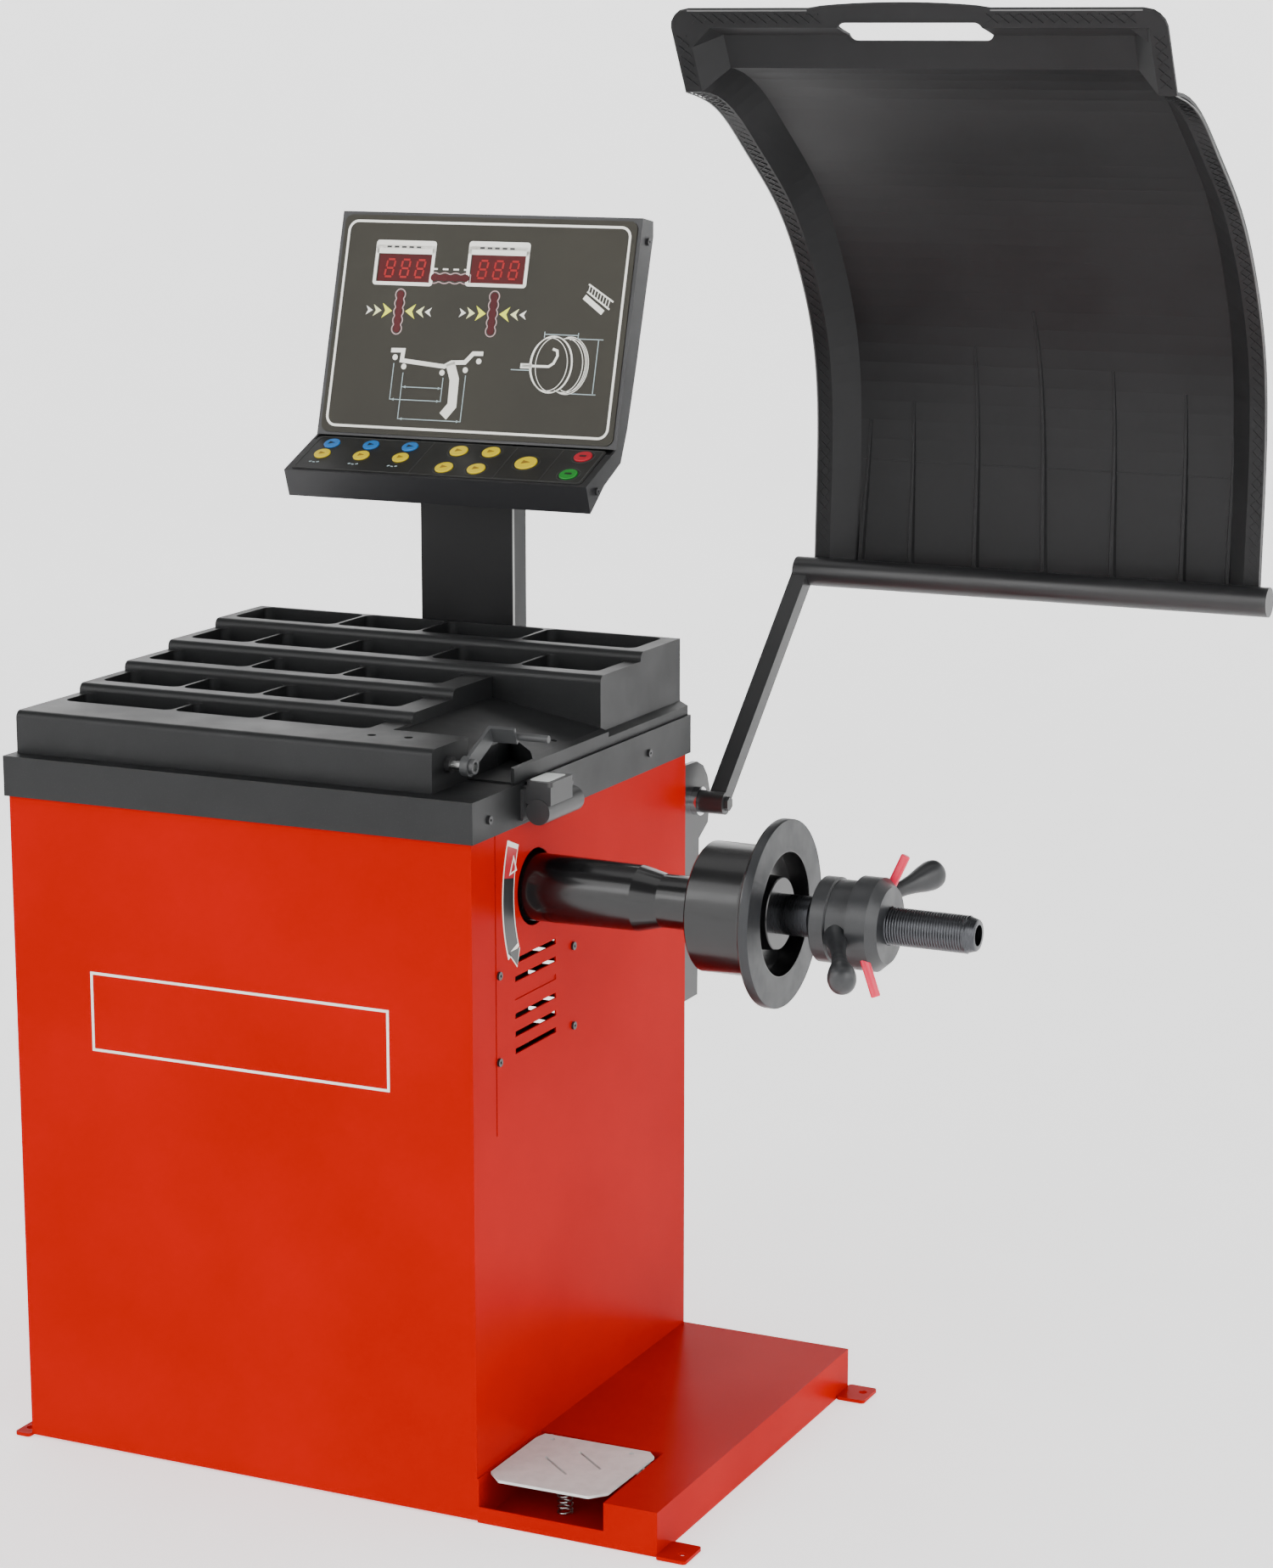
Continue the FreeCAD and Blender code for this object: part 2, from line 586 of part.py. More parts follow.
LAMPS = ([(92.5, 99.8 + 10.4 * step) for step in range(5)] + [(219, 98.4 + 10.4 * step) for step in range(5)]
         + [(135 + 14.3 * step, 78) for step in range(4)])
WINDOWS = ((57.6, 51, 71.7, 34), (183, 49, 72.5, 35))


def display_face():
    """The front panel, with the openings of the two number windows and the lamps."""
    plate = rounded(box((5, 4, 0.04), (390, 265, 1.46)), 10, lambda edge: len(edge.Vertexes) == 2
                    and abs(abs(edge.tangentAt(edge.FirstParameter).z) - 1) < 1e-6)
    openings = [box((u, f"273.2 - {v + tall}", -2), (wide, tall, 6)) for u, v, wide, tall in WINDOWS]
    openings += [rod((u, f"273.2 - {v}", -2), 4.6, 6, Z) for u, v in LAMPS]
    return group(tilted(cut(plate, *openings), *FACE))


def readout_windows():
    """The two tinted lenses in front of the seven-segment numbers."""
    return group(*[tilted(box((u + 0.1, f"273.2 - {v + tall} + 0.1", -3), (wide - 0.2, tall - 0.2, 4.1)),
                          *FACE) for u, v, wide, tall in WINDOWS])


def led_lamps():
    """The round lamps of the position columns and of the unit row."""
    return group(*[tilted(rod((u, f"273.2 - {v}", -4), 4.5, 5.9, Z), *FACE) for u, v in LAMPS])


def keypad_face():
    """The film over the sloping deck, holed round every key."""
    film = rounded(box((6, 4, 0), (385, 78, "film")), 6, upright)
    wells = [rod((u, f"86 - {v}", -2), f"{r} + 0.4", 6, Z) for u, v, r in KEYS.values()]
    return group(tilted(cut(film, *wells), *DECK))


def key(place):
    """One key: a round cap that slides square to the deck."""
    u, v, radius = place
    cap = rod((u, f"86 - {v}", -5), radius, 7.4, Z)
    cap = rounded(cap, 0.8, lambda edge: edge.BoundBox.ZMin > 2)
    return group(tilted(cap, *DECK))


# ---------------------------------------------------------------- hood
RIM = [(838, 934), (841.5, 1020), (843, 1110), (828, 1203), (782, 1293), (720, 1367), (613, 1444),
       (535, 1491), (454, 1510)]
RIBS = ((661, 671, 1104), (726.5, 726.5, 1143), (810, 808, 1194), (897, 887, 1247), (983, 979, 1186),
        (1069, 1067, 1146), (1125, 1125, 1106))


TOP = (404, 1598)  # the hood's top edge, in Y and Z; the flat top starts at the rim line's last point
TOP_CUTS = ((46, 0, 1), (22, 0, 0), (14, 2, 0), (7, 7, 0), (2.5, 13, 0), (0, 24, 0))  # down, inset, depth


def stations(count):
    """Points along the hood's rim line, with the outward direction and the mitre at each."""
    curve = Part.BSplineCurve()
    curve.interpolate([Vector(0, y, z) for y, z in RIM])
    points = curve.discretize(count) + [Vector(0, *TOP)]
    found = []
    for before, point, after in zip([points[0]] + points, points, points[1:]):
        runs = [(after - point).normalize()]
        runs.append((point - before).normalize() if before != point else runs[0])
        outs = [Vector(0, run.z, -run.y) for run in runs]
        out = (outs[0] + outs[1]).normalize()
        found.append((point, out / out.dot(outs[0])))
    return found


def top_stations():
    """The sections of the hood's flat top: place, outward direction, corner inset and depth share."""
    foot, head = Vector(0, *RIM[-1]), Vector(0, *TOP)
    run = (head - foot).normalize()
    out = Vector(0, run.z, -run.y)
    return [(head - run * down, out, inset, share) for down, inset, share in TOP_CUTS]


def swept(sections):
    """A closed solid through sections of equal point count, faced with flat triangles or quads."""
    faces = []
    for near, far in zip(sections, sections[1:]):
        for index in range(len(near)):
            after = (index + 1) % len(near)
            a, b, c, d = near[index], near[after], far[after], far[index]
            for corners in ((a, b, c), (a, c, d)):
                faces.append(Part.Face(Part.makePolygon([*corners, corners[0]])))
    for end in (sections[0], sections[-1]):
        faces.append(Part.Face(Part.makePolygon([*end, end[0]])))
    solid = Part.Solid(Part.Shell(faces))
    return solid.removeSplitter() if solid.Volume > 0 else solid.reversed().removeSplitter()


def hood_section(point, out, inset=0, share=1):
    """The hood's section at one station: rims, flared walls and back, of one thickness."""
    left, right = size("hood_left"), size("hood_right")
    deep, skin = size("hood_flare"), size("hood_skin")
    wide, slant = size("hood_rim"), skin * 0.414
    fall = deep * share
    inside = [(inset, 0), (max(wide, inset + 4), 0), (wide + deep, fall)]
    outside = [(inset, skin), (max(wide - slant, inset + 2.5), skin), (wide + deep - slant, fall + skin)]
    loop = [(left + x, away) for x, away in inside] + [(right - x, away) for x, away in inside[::-1]]
    loop += [(right - x, away) for x, away in outside] + [(left + x, away) for x, away in outside[::-1]]
    return [Vector(x, point.y + out.y * away, point.z + out.z * away) for x, away in loop]


def feature(name, shape):
    """A shape made from its own faces, kept as an object of the document."""
    thing = doc.addObject("Part::Feature", name)
    thing.Shape = shape
    return thing


def handle_hump():
    """The raised middle of the top edge, over the handle slot."""
    point, out, _, _ = top_stations()[-1]
    up = Vector(0, -out.z, out.y)
    sections = []
    for step in range(13):
        rise = 7 * math.sin(math.pi * step / 12) ** 0.6 - 0.5
        sections.append([Vector(773 + 211 * step / 12, 0, 0) + point + up * high + out * away
                         for high, away in ((-6, 0), (-6, 4), (rise, 4), (rise, 0))])
    return feature("hump", swept(sections))


def hood_shell():
    """The wheel guard: a flared channel bent over the wheel, its flat top, ribs and handle slot."""
    line = stations(36)
    sections = [hood_section(point, out) for point, out in line]
    sections += [hood_section(*item) for item in top_stations()]
    channel = feature("channel", swept(sections))
    deep = size("hood_flare")
    ribs = []
    for low, high, top in RIBS:
        rows = [item for item in line if item[0].z < top + 10]
        sections = []
        for point, out in rows:
            share = (point.z - rows[0][0].z) / (rows[-1][0].z - rows[0][0].z)
            middle, half, tall = low + (high - low) * share, 5 - 3.2 * share, 5 - 4 * share
            sections.append([Vector(middle + x, point.y + out.y * away, point.z + out.z * away)
                             for x, away in ((-half, deep + 0.5), (-half * 0.5, deep - tall),
                                             (half * 0.5, deep - tall), (half, deep + 0.5))])
        ribs.append(feature("rib", swept(sections)))
    slot = rounded(box((805, 370, 1565.7), (165, 110, 18.3)), 8.5, lambda edge: len(edge.Vertexes) == 2
                   and abs(abs(edge.tangentAt(edge.FirstParameter).y) - 1) < 1e-6)
    return cut(join(channel, handle_hump(), *ribs), slot)


def hood_arm():
    """The hood's frame: pivot tube, square arm and the cross tube, with its three brackets."""
    rise, back = size("tube_z") - size("pivot_z"), size("tube_y") - size("pivot_y")
    reach = math.hypot(rise, back)
    bar = doc.addObject("Part::Box", "bar")
    bar.Placement = Placement(Vector(), Rotation(X, math.degrees(math.atan2(rise, back))))
    bind(bar, Length="arm_side", Width=f"{reach:.3f}", Height="arm_side")
    lean = Vector(0, rise, -back) / reach
    move(bar, "arm_near", f"pivot_y + arm_side / 2 * {lean.y:.6f}", f"pivot_z + arm_side / 2 * {lean.z:.6f}")
    pivot = ring((518, "pivot_y", "pivot_z"), 13.5, 8, 94)
    bolt = join(rod((612, "pivot_y", "pivot_z"), 13.5, 3.5), hexagon((615.5, "pivot_y", "pivot_z"), 8.5, 5))
    tube = ring(("arm_near + 2", "tube_y", "tube_z"), "hood_tube", 14.5, "tube_end - arm_near - 2")
    plug = rod(("arm_near + 1", "tube_y", "tube_z"), "hood_tube", 4)
    clamps = [box((x, "tube_y", "tube_z - 4"), (24, 45.3, 12)) for x in (686, 840, 1085)]
    hollow = rod(("arm_near + 5", "tube_y", "tube_z"), 14.5, "tube_end - arm_near")
    return cut(join(bar, pivot, bolt, tube, plug, *clamps), hollow)


def hexagon(at, radius, length):
    """A bolt head: a six-sided prism along X."""
    head = doc.addObject("Part::Prism", "hexagon")
    head.Placement = Placement(Vector(), turn_to(X))
    bind(head, Circumradius=radius, Height=length)
    return move(head, *at)


def hood_bracket():
    """The channel behind the cabinet with the two ears of the hood's pivot."""
    web = box((516, "cab_deep", 450), (60, 4, 285))
    parts = [web]
    for x in (516, 570):
        side = side_profile("side", [
            ("cab_deep", 450), (571, 450), (574, 640), (600, 655), (606, 690), (598, 712), (586, 726),
            (568, 734), ("cab_deep", 735)], x, x + 6)
        parts.append(side)
    frame = join(*parts)
    return cut(frame, rod((500, "pivot_y", "pivot_z"), "bush", 90),
               *[screw_hole(*place) for place in BRACKET_SCREWS])


def hood_bush():
    """The flanged bush of the hood's pivot."""
    return ring((512, "pivot_y", "pivot_z"), "bush", "13.5 + run_fit", 72)


def hood_end_cap():
    """The plastic plug at the free end of the cross tube."""
    return join(rod(("tube_end", "tube_y", "tube_z"), "hood_tube", 4),
                rod(("tube_end - 12", "tube_y", "tube_z"), 14.4, 13))


# ---------------------------------------------------------------- quick nut
def nut_cup():
    """The nut's pressure cup and the sleeve that the housing turns on."""
    return turned("nut_cup", [
        ("cup_start", "seat + 0.4"), ("cup_start", "cup - 1"), ("cup_start + 1", "cup"),
        ("cup_end - 2", "cup"), ("cup_end - 0.4", "cup - 2"), ("cup_end - 0.4", 27), (372, 27),
        (372, "seat + 0.4")])


def nut_housing():
    """The turning body of the nut: waist, front ring and the bores of its two release pins."""
    blank = turned("nut_blank", [
        ("cup_end", "27 + run_fit"), ("cup_end", "nut - 6"), (376, "nut - 6"), (378, "nut"), (400, "nut"),
        ("nut_end", "nut - 9"), ("nut_end", "thread + 0.4"), (372.4, "thread + 0.4"),
        (372.4, "27 + run_fit")])
    return cut(blank, *[pin_body(turn, "5.1", 22) for turn in (0, 180)])


def pin_body(turn, radius, inside):
    """A rod along the line of a release pin, on the side that the turn picks."""
    sign = 1 if turn == 0 else -1
    cylinder = doc.addObject("Part::Cylinder", "pin_line")
    run = Vector(0.384, 0.137 * sign, 0.912 * sign)
    cylinder.Placement = Placement(Vector(), Rotation(Z, run))
    bind(cylinder, Radius=radius, Height=30.7 + inside)
    start = Vector(398.8, 35.5 * sign, 38 * sign) - run * inside
    return move(cylinder, *[f"{part:.4f}" for part in start])


def nut_pin(turn):
    """One of the two release pins that free the nut from the thread."""
    pin = pin_body(turn, "5", 15)
    return group(rounded(pin, 1.5, lambda edge: edge.BoundBox.XMin > 404))


def nut_handles():
    """The two opposed grips of the nut, each a tapered neck with a round knob."""
    grips = []
    for sign in (1, -1):
        turn = math.radians(12)
        out = Vector(0, sign * math.cos(turn), sign * math.sin(turn))
        start, end = Vector(366, 0, 0) + out * 38, Vector(410, 0, 0) + out * 118
        neck = taper([f"{part:.4f}" for part in start], 9, 7, f"{(end - start).Length:.4f}", end - start)
        knob_at = Vector(412, 0, 0) + out * 127
        grips.append(join(neck, ball([f"{part:.4f}" for part in knob_at], 16.5)))
    return cut(join(*grips), rod((350, 0, 0), "nut - 6", 26), rod((376, 0, 0), "nut", 30))


# ---------------------------------------------------------------- gauge and side clamp
def gauge_guide():
    """The tube under the tray's front ledge: wide inside for the rod's collar, narrow at its mouth."""
    return cut(rod((270, "gauge_y", "gauge_z"), 8.9, 257),
               rod((269, "gauge_y", "gauge_z"), "7.5 + run_fit", 235),
               rod((269, "gauge_y", "gauge_z"), "gauge_rod + run_fit", 260))


def gauge_rod():
    """The sliding rod of the distance gauge, with its stop collar."""
    return join(rod((272, "gauge_y", "gauge_z"), "gauge_rod", 279),
                rod((272, "gauge_y", "gauge_z"), 7.5, 6))


def gauge_arm():
    """The swinging arm on the rod: clamp ring with its screw, flat plate, bent tab and feeler."""
    eye = rod((540, "gauge_y", "gauge_z"), 10.5, 9)
    blade = doc.addObject("Part::Box", "blade")
    blade.Placement = Placement(Vector(), Rotation(X, 25.3))
    bind(blade, Length=4, Width=60, Height=18)
    move(blade, 543, "gauge_y + 9 * 0.4274", "gauge_z - 9 * 0.9041")
    tab = doc.addObject("Part::Box", "tab")
    tab.Placement = Placement(Vector(), Rotation(X, 25.3))
    bind(tab, Length=32, Width=4, Height=18)
    move(tab, 543, "gauge_y + 9 * 0.4274 + 57 * 0.9041", "gauge_z - 9 * 0.9041 + 57 * 0.4274")
    feeler = rod((560, "gauge_y + 60", "gauge_z + 23.5"), 4, 50)
    lug = rod((548, "gauge_y", "gauge_z"), 8, 6)
    return cut(join(eye, blade, tab, feeler, lug), rod((530, "gauge_y", "gauge_z"), "gauge_rod + run_fit", 40))


def side_clamp():
    """The small holder on the tray's skirt: foot, block, chrome plate and cross barrel."""
    skin = "cab_wide + skirt_out"
    foot = box((skin, 105, 755), (3, 28, 34))
    block = box((skin, 113, 772), (32, 52, 20))
    plate = rounded(box((f"{skin} + 2", 112, 792), (31, 54, 5)), 5, upright)
    barrel = rod((f"{skin} + 17", 112, 764), 14, 84, Y)
    return cut(join(foot, block, plate, barrel), rod((f"{skin} + 20", 150, 786), 3.1, 30, Y))


def clamp_knob():
    """The knurled screw that tightens the side clamp."""
    at = "cab_wide + skirt_out + 20"
    return join(rod((at, 152, 786), 3, 20, Y), rod((at, 166.5, 786), 7, 3, Y), rod((at, 169, 786), 6, 11, Y))


# ---------------------------------------------------------------- brake
def pedal_plate():
    """The stamped pedal over the well, with two lugs down to its shaft."""
    plate = padded("pedal_blank", "XY_Plane", [
        (582, 20.6), (600.6, 2.6), (706.9, 4.6), (722.1, 21.7), (724.5, 133), (714.4, 143.8),
        (586.8, 142), (582.6, 128)], 3, "pedal_top - 3")
    lugs = [box((x, "pedal_y - 9", "pedal_z - 9"), (4, 18, "pedal_top - pedal_z + 8")) for x in (592, 706)]
    holes = [rod((x, "pedal_y - 5", 40), 3, 20, Z) for x in (601.6, 697.9)]
    slits = []
    for x, y in ((616, 81.3), (643.1, 110.1)):
        slit = doc.addObject("Part::Box", "slit")
        slit.Placement = Placement(Vector(), Rotation(Z, -39))
        bind(slit, Length=55, Width=3, Height=20)
        slits.append(move(slit, x, y, 40))
    return cut(join(plate, *lugs), *holes, *slits, rod((580, "pedal_y", "pedal_z"), "pedal_shaft", 150))


def pedal_shaft():
    """The shaft that the pedal turns, with the lever that lifts the brake rod."""
    lever = box((357, "pedal_y", "pedal_z - 6"), (10, 82, 12))
    return join(rod((350, "pedal_y", "pedal_z"), "pedal_shaft", 375), rod((355, "pedal_y", "pedal_z"), 8, 14),
                lever)


def pedal_spring():
    """The return spring under the pedal, as the tube that its coil fills."""
    return ring((652, 60, "sheet"), 9, 6.5, "pedal_top - 5.4 - sheet", Z)


def brake_rod():
    """The push rod from the pedal's lever to the brake arm."""
    return join(rod((362, "pedal_y + 75", "pedal_z + 6.6"), 4, "brake_z - 8 - pedal_z - 6 - 1.2", Z),
                rod((362, "pedal_y + 75", "pedal_z + 6.6"), 7, 6, Z))


def brake_arm():
    """The brake's arm on its stud, with the lined shoe under the pulley's rim."""
    bar = box((357, 100, "brake_z - 6"), (10, "pedal_y + 84 - 100", 12))
    shoe = box((357, "axis_y - 14", "brake_z"), (10, 28, "axis_z - brake_rim - 3 - brake_z"))
    return cut(join(bar, shoe, rod((357, 100, "brake_z"), 11, 10)),
               rod((350, 100, "brake_z"), "5 + run_fit", 30))


# ---------------------------------------------------------------- the whole machine
PLAIN = {
    "cabinet_shell": cabinet_shell, "rear_cover": rear_cover, "base_platform": base_platform,
    "anchor_tabs": anchor_tabs, "weight_tray": weight_tray, "spindle_bracket": spindle_bracket,
    "force_sensors": force_sensors, "drive_motor": drive_motor, "drive_belt": drive_belt,
    "motor_pulley": motor_pulley, "circuit_boards": circuit_boards, "power_inlet": power_inlet,
    "power_switch": power_switch, "display_post": display_post, "display_housing": display_housing,
    "display_face": display_face, "readout_windows": readout_windows, "led_lamps": led_lamps,
    "keypad_face": keypad_face, "hood_shell": hood_shell, "hood_arm": hood_arm,
    "hood_bracket": hood_bracket, "hood_bush": hood_bush, "hood_end_cap": hood_end_cap,
    "gauge_guide": gauge_guide, "gauge_rod": gauge_rod, "gauge_arm": gauge_arm, "side_clamp": side_clamp,
    "clamp_knob": clamp_knob, "pedal_plate": pedal_plate, "pedal_shaft": pedal_shaft,
    "pedal_spring": pedal_spring, "brake_rod": brake_rod, "brake_arm": brake_arm,
}
ON_SPINDLE = {
    "shaft_cover": shaft_cover, "spindle_housing": spindle_housing, "spindle_bearings": spindle_bearings,
    "main_shaft": main_shaft, "wheel_flange": wheel_flange, "shaft_pulley": shaft_pulley,
    "encoder_disc": encoder_disc, "nut_cup": nut_cup, "nut_housing": nut_housing,
    "nut_handles": nut_handles, "nut_pin_front": lambda: nut_pin(0), "nut_pin_rear": lambda: nut_pin(180),
}

for name, make in PLAIN.items():
    node(name, make())
for name, make in ON_SPINDLE.items():
    spindle_node(name, make())
for name, place in KEYS.items():
    node(name, key(place))
ALL_SCREWS = SIDE_SCREWS + SKIRT_SCREWS + SCREEN_SCREWS + COVER_SCREWS + BRACKET_SCREWS + POST_SCREWS
node("case_screws", group(*[screw(*place) for place in ALL_SCREWS]))
sheet.clear("D1")
doc.recompute()

for thing in doc.Objects:
    if "Invalid" in thing.State or "Error" in thing.State:
        raise RuntimeError(f"{thing.Name} ({thing.Label}) failed: {thing.State}")
for thing in NODES:
    if thing.Shape.isNull() or not thing.Shape.isValid() or thing.Shape.Volume < 1:
        raise RuntimeError(f"{thing.Label} has no valid solid")
for thing in NODES:
    thing.Shape.exportStep(f"parts/{thing.Label}.step")
    print(f"{thing.Label:18s} {len(thing.Shape.Solids):3d} solids {thing.Shape.Volume / 1000:10.1f} cm3")
print(len(NODES), "nodes")
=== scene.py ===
"""The wheel balancing machine's looks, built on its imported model.

Lengths are in millimetres in the cabinet's own corner (X right along the spindle, Y back, Z up, from
the foot of the front left edge) and are turned to the model's metres by `to_row`.
"""
import logging
import math
from dataclasses import dataclass, field
from enum import Enum

import bpy
import numpy as np
from mathutils import Euler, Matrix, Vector


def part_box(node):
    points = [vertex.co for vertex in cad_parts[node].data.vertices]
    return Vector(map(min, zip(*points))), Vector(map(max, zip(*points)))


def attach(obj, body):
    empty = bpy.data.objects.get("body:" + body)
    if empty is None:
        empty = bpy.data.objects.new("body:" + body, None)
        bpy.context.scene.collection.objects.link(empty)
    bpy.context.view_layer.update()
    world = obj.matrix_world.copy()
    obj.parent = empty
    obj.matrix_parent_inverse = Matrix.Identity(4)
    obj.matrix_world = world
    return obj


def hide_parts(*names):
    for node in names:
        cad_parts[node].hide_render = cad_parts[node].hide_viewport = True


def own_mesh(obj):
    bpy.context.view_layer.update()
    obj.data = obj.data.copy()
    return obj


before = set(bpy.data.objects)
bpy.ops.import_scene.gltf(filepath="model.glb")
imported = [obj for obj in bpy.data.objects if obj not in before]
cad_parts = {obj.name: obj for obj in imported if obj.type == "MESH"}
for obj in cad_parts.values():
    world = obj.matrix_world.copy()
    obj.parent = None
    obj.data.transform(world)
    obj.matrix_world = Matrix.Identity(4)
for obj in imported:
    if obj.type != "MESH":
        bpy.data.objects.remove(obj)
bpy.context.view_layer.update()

log = logging.getLogger("wheel_balancer")
CORNER = np.array([*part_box("cabinet_shell")[0]][:2] + [0.0])


class Axis(Enum):
    """The direction that a finish's marks run in."""

    NONE = (1.0, 1.0, 1.0)
    ALONG_X = (0.04, 1.0, 1.0)
    ROUND_X = (1.0, 0.03, 0.03)


class Plane(Enum):
    """A sloping panel of the display: its lower left corner in millimetres and its tilt."""

    FACE = (84.0, 540.0, 1099.0, 74.28, 273.2)
    DECK = (84.0, 461.0, 1065.0, 23.29, 86.0)


def to_row(points: np.ndarray) -> np.ndarray:
    """Millimetres from the cabinet's corner to the model's metres.

    Args:
        points: an array of shape (n, 3).

    Returns:
        The same points in metres in the model's frame.
    """
    return np.asarray(points, float) / 1000.0 + CORNER


def on_panel(panel: Plane, uvw: np.ndarray) -> np.ndarray:
    """Points of a panel, u from its left edge, v down from its top edge, w out of it.

    The panel's up direction is (0, cos t, sin t) for its tilt t, and its outward one (0, -sin t, cos t).

    Args:
        panel: which panel.
        uvw: an array of shape (n, 3) in millimetres.

    Returns:
        The points in millimetres from the cabinet's corner.
    """
    x, y, z, tilt, tall = panel.value
    turn = math.radians(tilt)
    up = tall - uvw[:, 1]
    return np.stack([x + uvw[:, 0],
                     y + up * math.cos(turn) - uvw[:, 2] * math.sin(turn),
                     z + up * math.sin(turn) + uvw[:, 2] * math.cos(turn)], axis=1)


def linear(code: str) -> tuple[float, float, float, float]:
    """An sRGB hex colour as linear values.

    Args:
        code: six hex digits.

    Returns:
        Red, green, blue and an alpha of one.
    """
    parts = np.array([int(code[i:i + 2], 16) for i in (0, 2, 4)]) / 255.0
    low, high = parts / 12.92, ((parts + 0.055) / 1.055) ** 2.4
    return (*np.where(parts <= 0.04045, low, high).tolist(), 1.0)


# ------------------------------------------------------------------ finishes
def add(material: bpy.types.Material, kind: str, settings: dict | None = None,
        links: dict | None = None) -> bpy.types.Node:
    """Add one node to a material.

    Args:
        material: the material that gets it.
        kind: the node's type name.
        settings: properties, or sockets by name or number, and their values.
        links: input sockets by name or number, and the output socket that feeds each.

    Returns:
        The new node.
    """
    node = material.node_tree.nodes.new(kind)
    for name, value in (settings or {}).items():
        if isinstance(name, str) and hasattr(node, name):
            setattr(node, name, value)
        else:
            node.inputs[name].default_value = value
    for name, source in (links or {}).items():
        material.node_tree.links.new(source, node.inputs[name])
    return node


@dataclass(frozen=True)
class Finish:
    """A surface as its maker names it.

    Attributes:
        name: the material's common name and how its surface was made.
        colour: the colour of most of it.
        shade: the colour that it drifts to in slow patches.
        rough: the smallest and the largest roughness.
        metal: 1 for a bare metal.
        grain_mm: the size of the fine marks.
        grain: how deep the marks look.
        marks: the direction of the marks.
        coat: the weight of a clear coat.
        patch_mm: the size of the slow patches.
        speck: how strongly fine light specks show.
        glow: emission strength.
        shine: the specular level of the base.
    """

    name: str
    colour: str
    shade: str
    rough: tuple[float, float] = (0.4, 0.5)
    metal: float = 0.0
    grain_mm: float = 1.0
    grain: float = 0.1
    marks: Axis = Axis.NONE
    coat: float = 0.0
    patch_mm: float = 140.0
    speck: float = 0.0
    glow: float = 0.0
    shine: float = 0.5

    def build(self) -> bpy.types.Material:
        """Make the material once, or give the one already made.

        The colour mixes two tones by slow noise; the roughness follows a middle noise between its two
        values; a fine noise, stretched along the marks, tilts the surface.
        """
        if self.name in bpy.data.materials:
            return bpy.data.materials[self.name]
        made = bpy.data.materials.new(self.name)
        made.use_nodes = True
        made.node_tree.nodes.clear()
        place = add(made, "ShaderNodeTexCoord").outputs["Object"]
        slow = add(made, "ShaderNodeTexNoise", {"Scale": 1000 / self.patch_mm, "Detail": 3.0,
                                                "Roughness": 0.55}, {"Vector": place}).outputs["Fac"]
        along = add(made, "ShaderNodeMapping", {"Scale": self.marks.value}, {"Vector": place}).outputs[0]
        fine = add(made, "ShaderNodeTexNoise", {"Scale": 1000 / self.grain_mm, "Detail": 2.0,
                                                "Roughness": 0.6}, {"Vector": along}).outputs["Fac"]
        tone = add(made, "ShaderNodeMapRange", {"From Min": 0.35, "From Max": 0.65}, {"Value": slow})
        colour = add(made, "ShaderNodeMix", {"data_type": "RGBA", 6: linear(self.colour),
                                             7: linear(self.shade)}, {0: tone.outputs[0]}).outputs[2]
        if self.speck:
            dots = add(made, "ShaderNodeMapRange", {"From Min": 0.6, "From Max": 0.72, "To Max": self.speck},
                       {"Value": fine}).outputs[0]
            colour = add(made, "ShaderNodeMix", {"data_type": "RGBA", 7: linear("9a9a9a")},
                         {0: dots, 6: colour}).outputs[2]
        blend = fine if self.metal else slow
        rough = add(made, "ShaderNodeMapRange", {"From Min": 0.3, "From Max": 0.7, "To Min": self.rough[0],
                                                 "To Max": self.rough[1]}, {"Value": blend}).outputs[0]
        bump = add(made, "ShaderNodeBump", {"Strength": self.grain, "Distance": self.grain_mm / 4000},
                   {"Height": fine}).outputs[0]
        settings = {"Metallic": self.metal, "Coat Weight": self.coat, "Coat Roughness": 0.08,
                    "Specular IOR Level": self.shine}
        links = {"Base Color": colour, "Roughness": rough, "Normal": bump}
        if self.glow:
            settings["Emission Strength"] = self.glow
            links["Emission Color"] = colour
        shader = add(made, "ShaderNodeBsdfPrincipled", settings, links)
        add(made, "ShaderNodeOutputMaterial", {}, {"Surface": shader.outputs[0]})
        return made


def key_film(name: str, colour: str, shade: str) -> Finish:
    """The printed film on top of one kind of key, from its name and two colours."""
    return Finish(name, colour, shade, (0.3, 0.4), grain_mm=0.8, grain=0.05)


def ink(name: str, colour: str, shade: str) -> Finish:
    """A matt screen-printing ink, from its name and two colours."""
    return Finish(name, colour, shade, (0.5, 0.6), grain_mm=0.5, grain=0.05)


# Polyester powder coat over sheet steel: glossy, with a faint orange peel about 1.5 mm across.
RED_COAT = Finish("red_powder_coat", "a80300", "a00200", (0.3, 0.38), grain_mm=1.6, grain=0.05,
                  patch_mm=220, shine=0.02)
# Moulded polypropylene with a fine spark-eroded grain: it scatters light evenly.
TRAY_PLASTIC = Finish("moulded_tray_plastic", "131415", "0e0f10", (0.38, 0.5), grain_mm=0.9, grain=0.22,
                      patch_mm=90, speck=0.04, shine=0.3)
# Painted sheet of the display's housing, dark grey and satin.
HOUSING_PAINT = Finish("satin_housing_paint", "1b1b1d", "171719", (0.35, 0.45), grain_mm=1.2, grain=0.1)
# Screen-printed polycarbonate film: an olive grey ink, nearly matt.
FACE_FILM = Finish("olive_printed_film", "2b2922", "33312a", (0.42, 0.5), grain_mm=0.6, grain=0.05,
                   patch_mm=260, shine=0.2)
# Screen-printed polyester film over the keys: black ink with a satin top layer.
DECK_FILM = Finish("black_printed_film", "121212", "171716", (0.32, 0.42), grain_mm=0.6, grain=0.05)
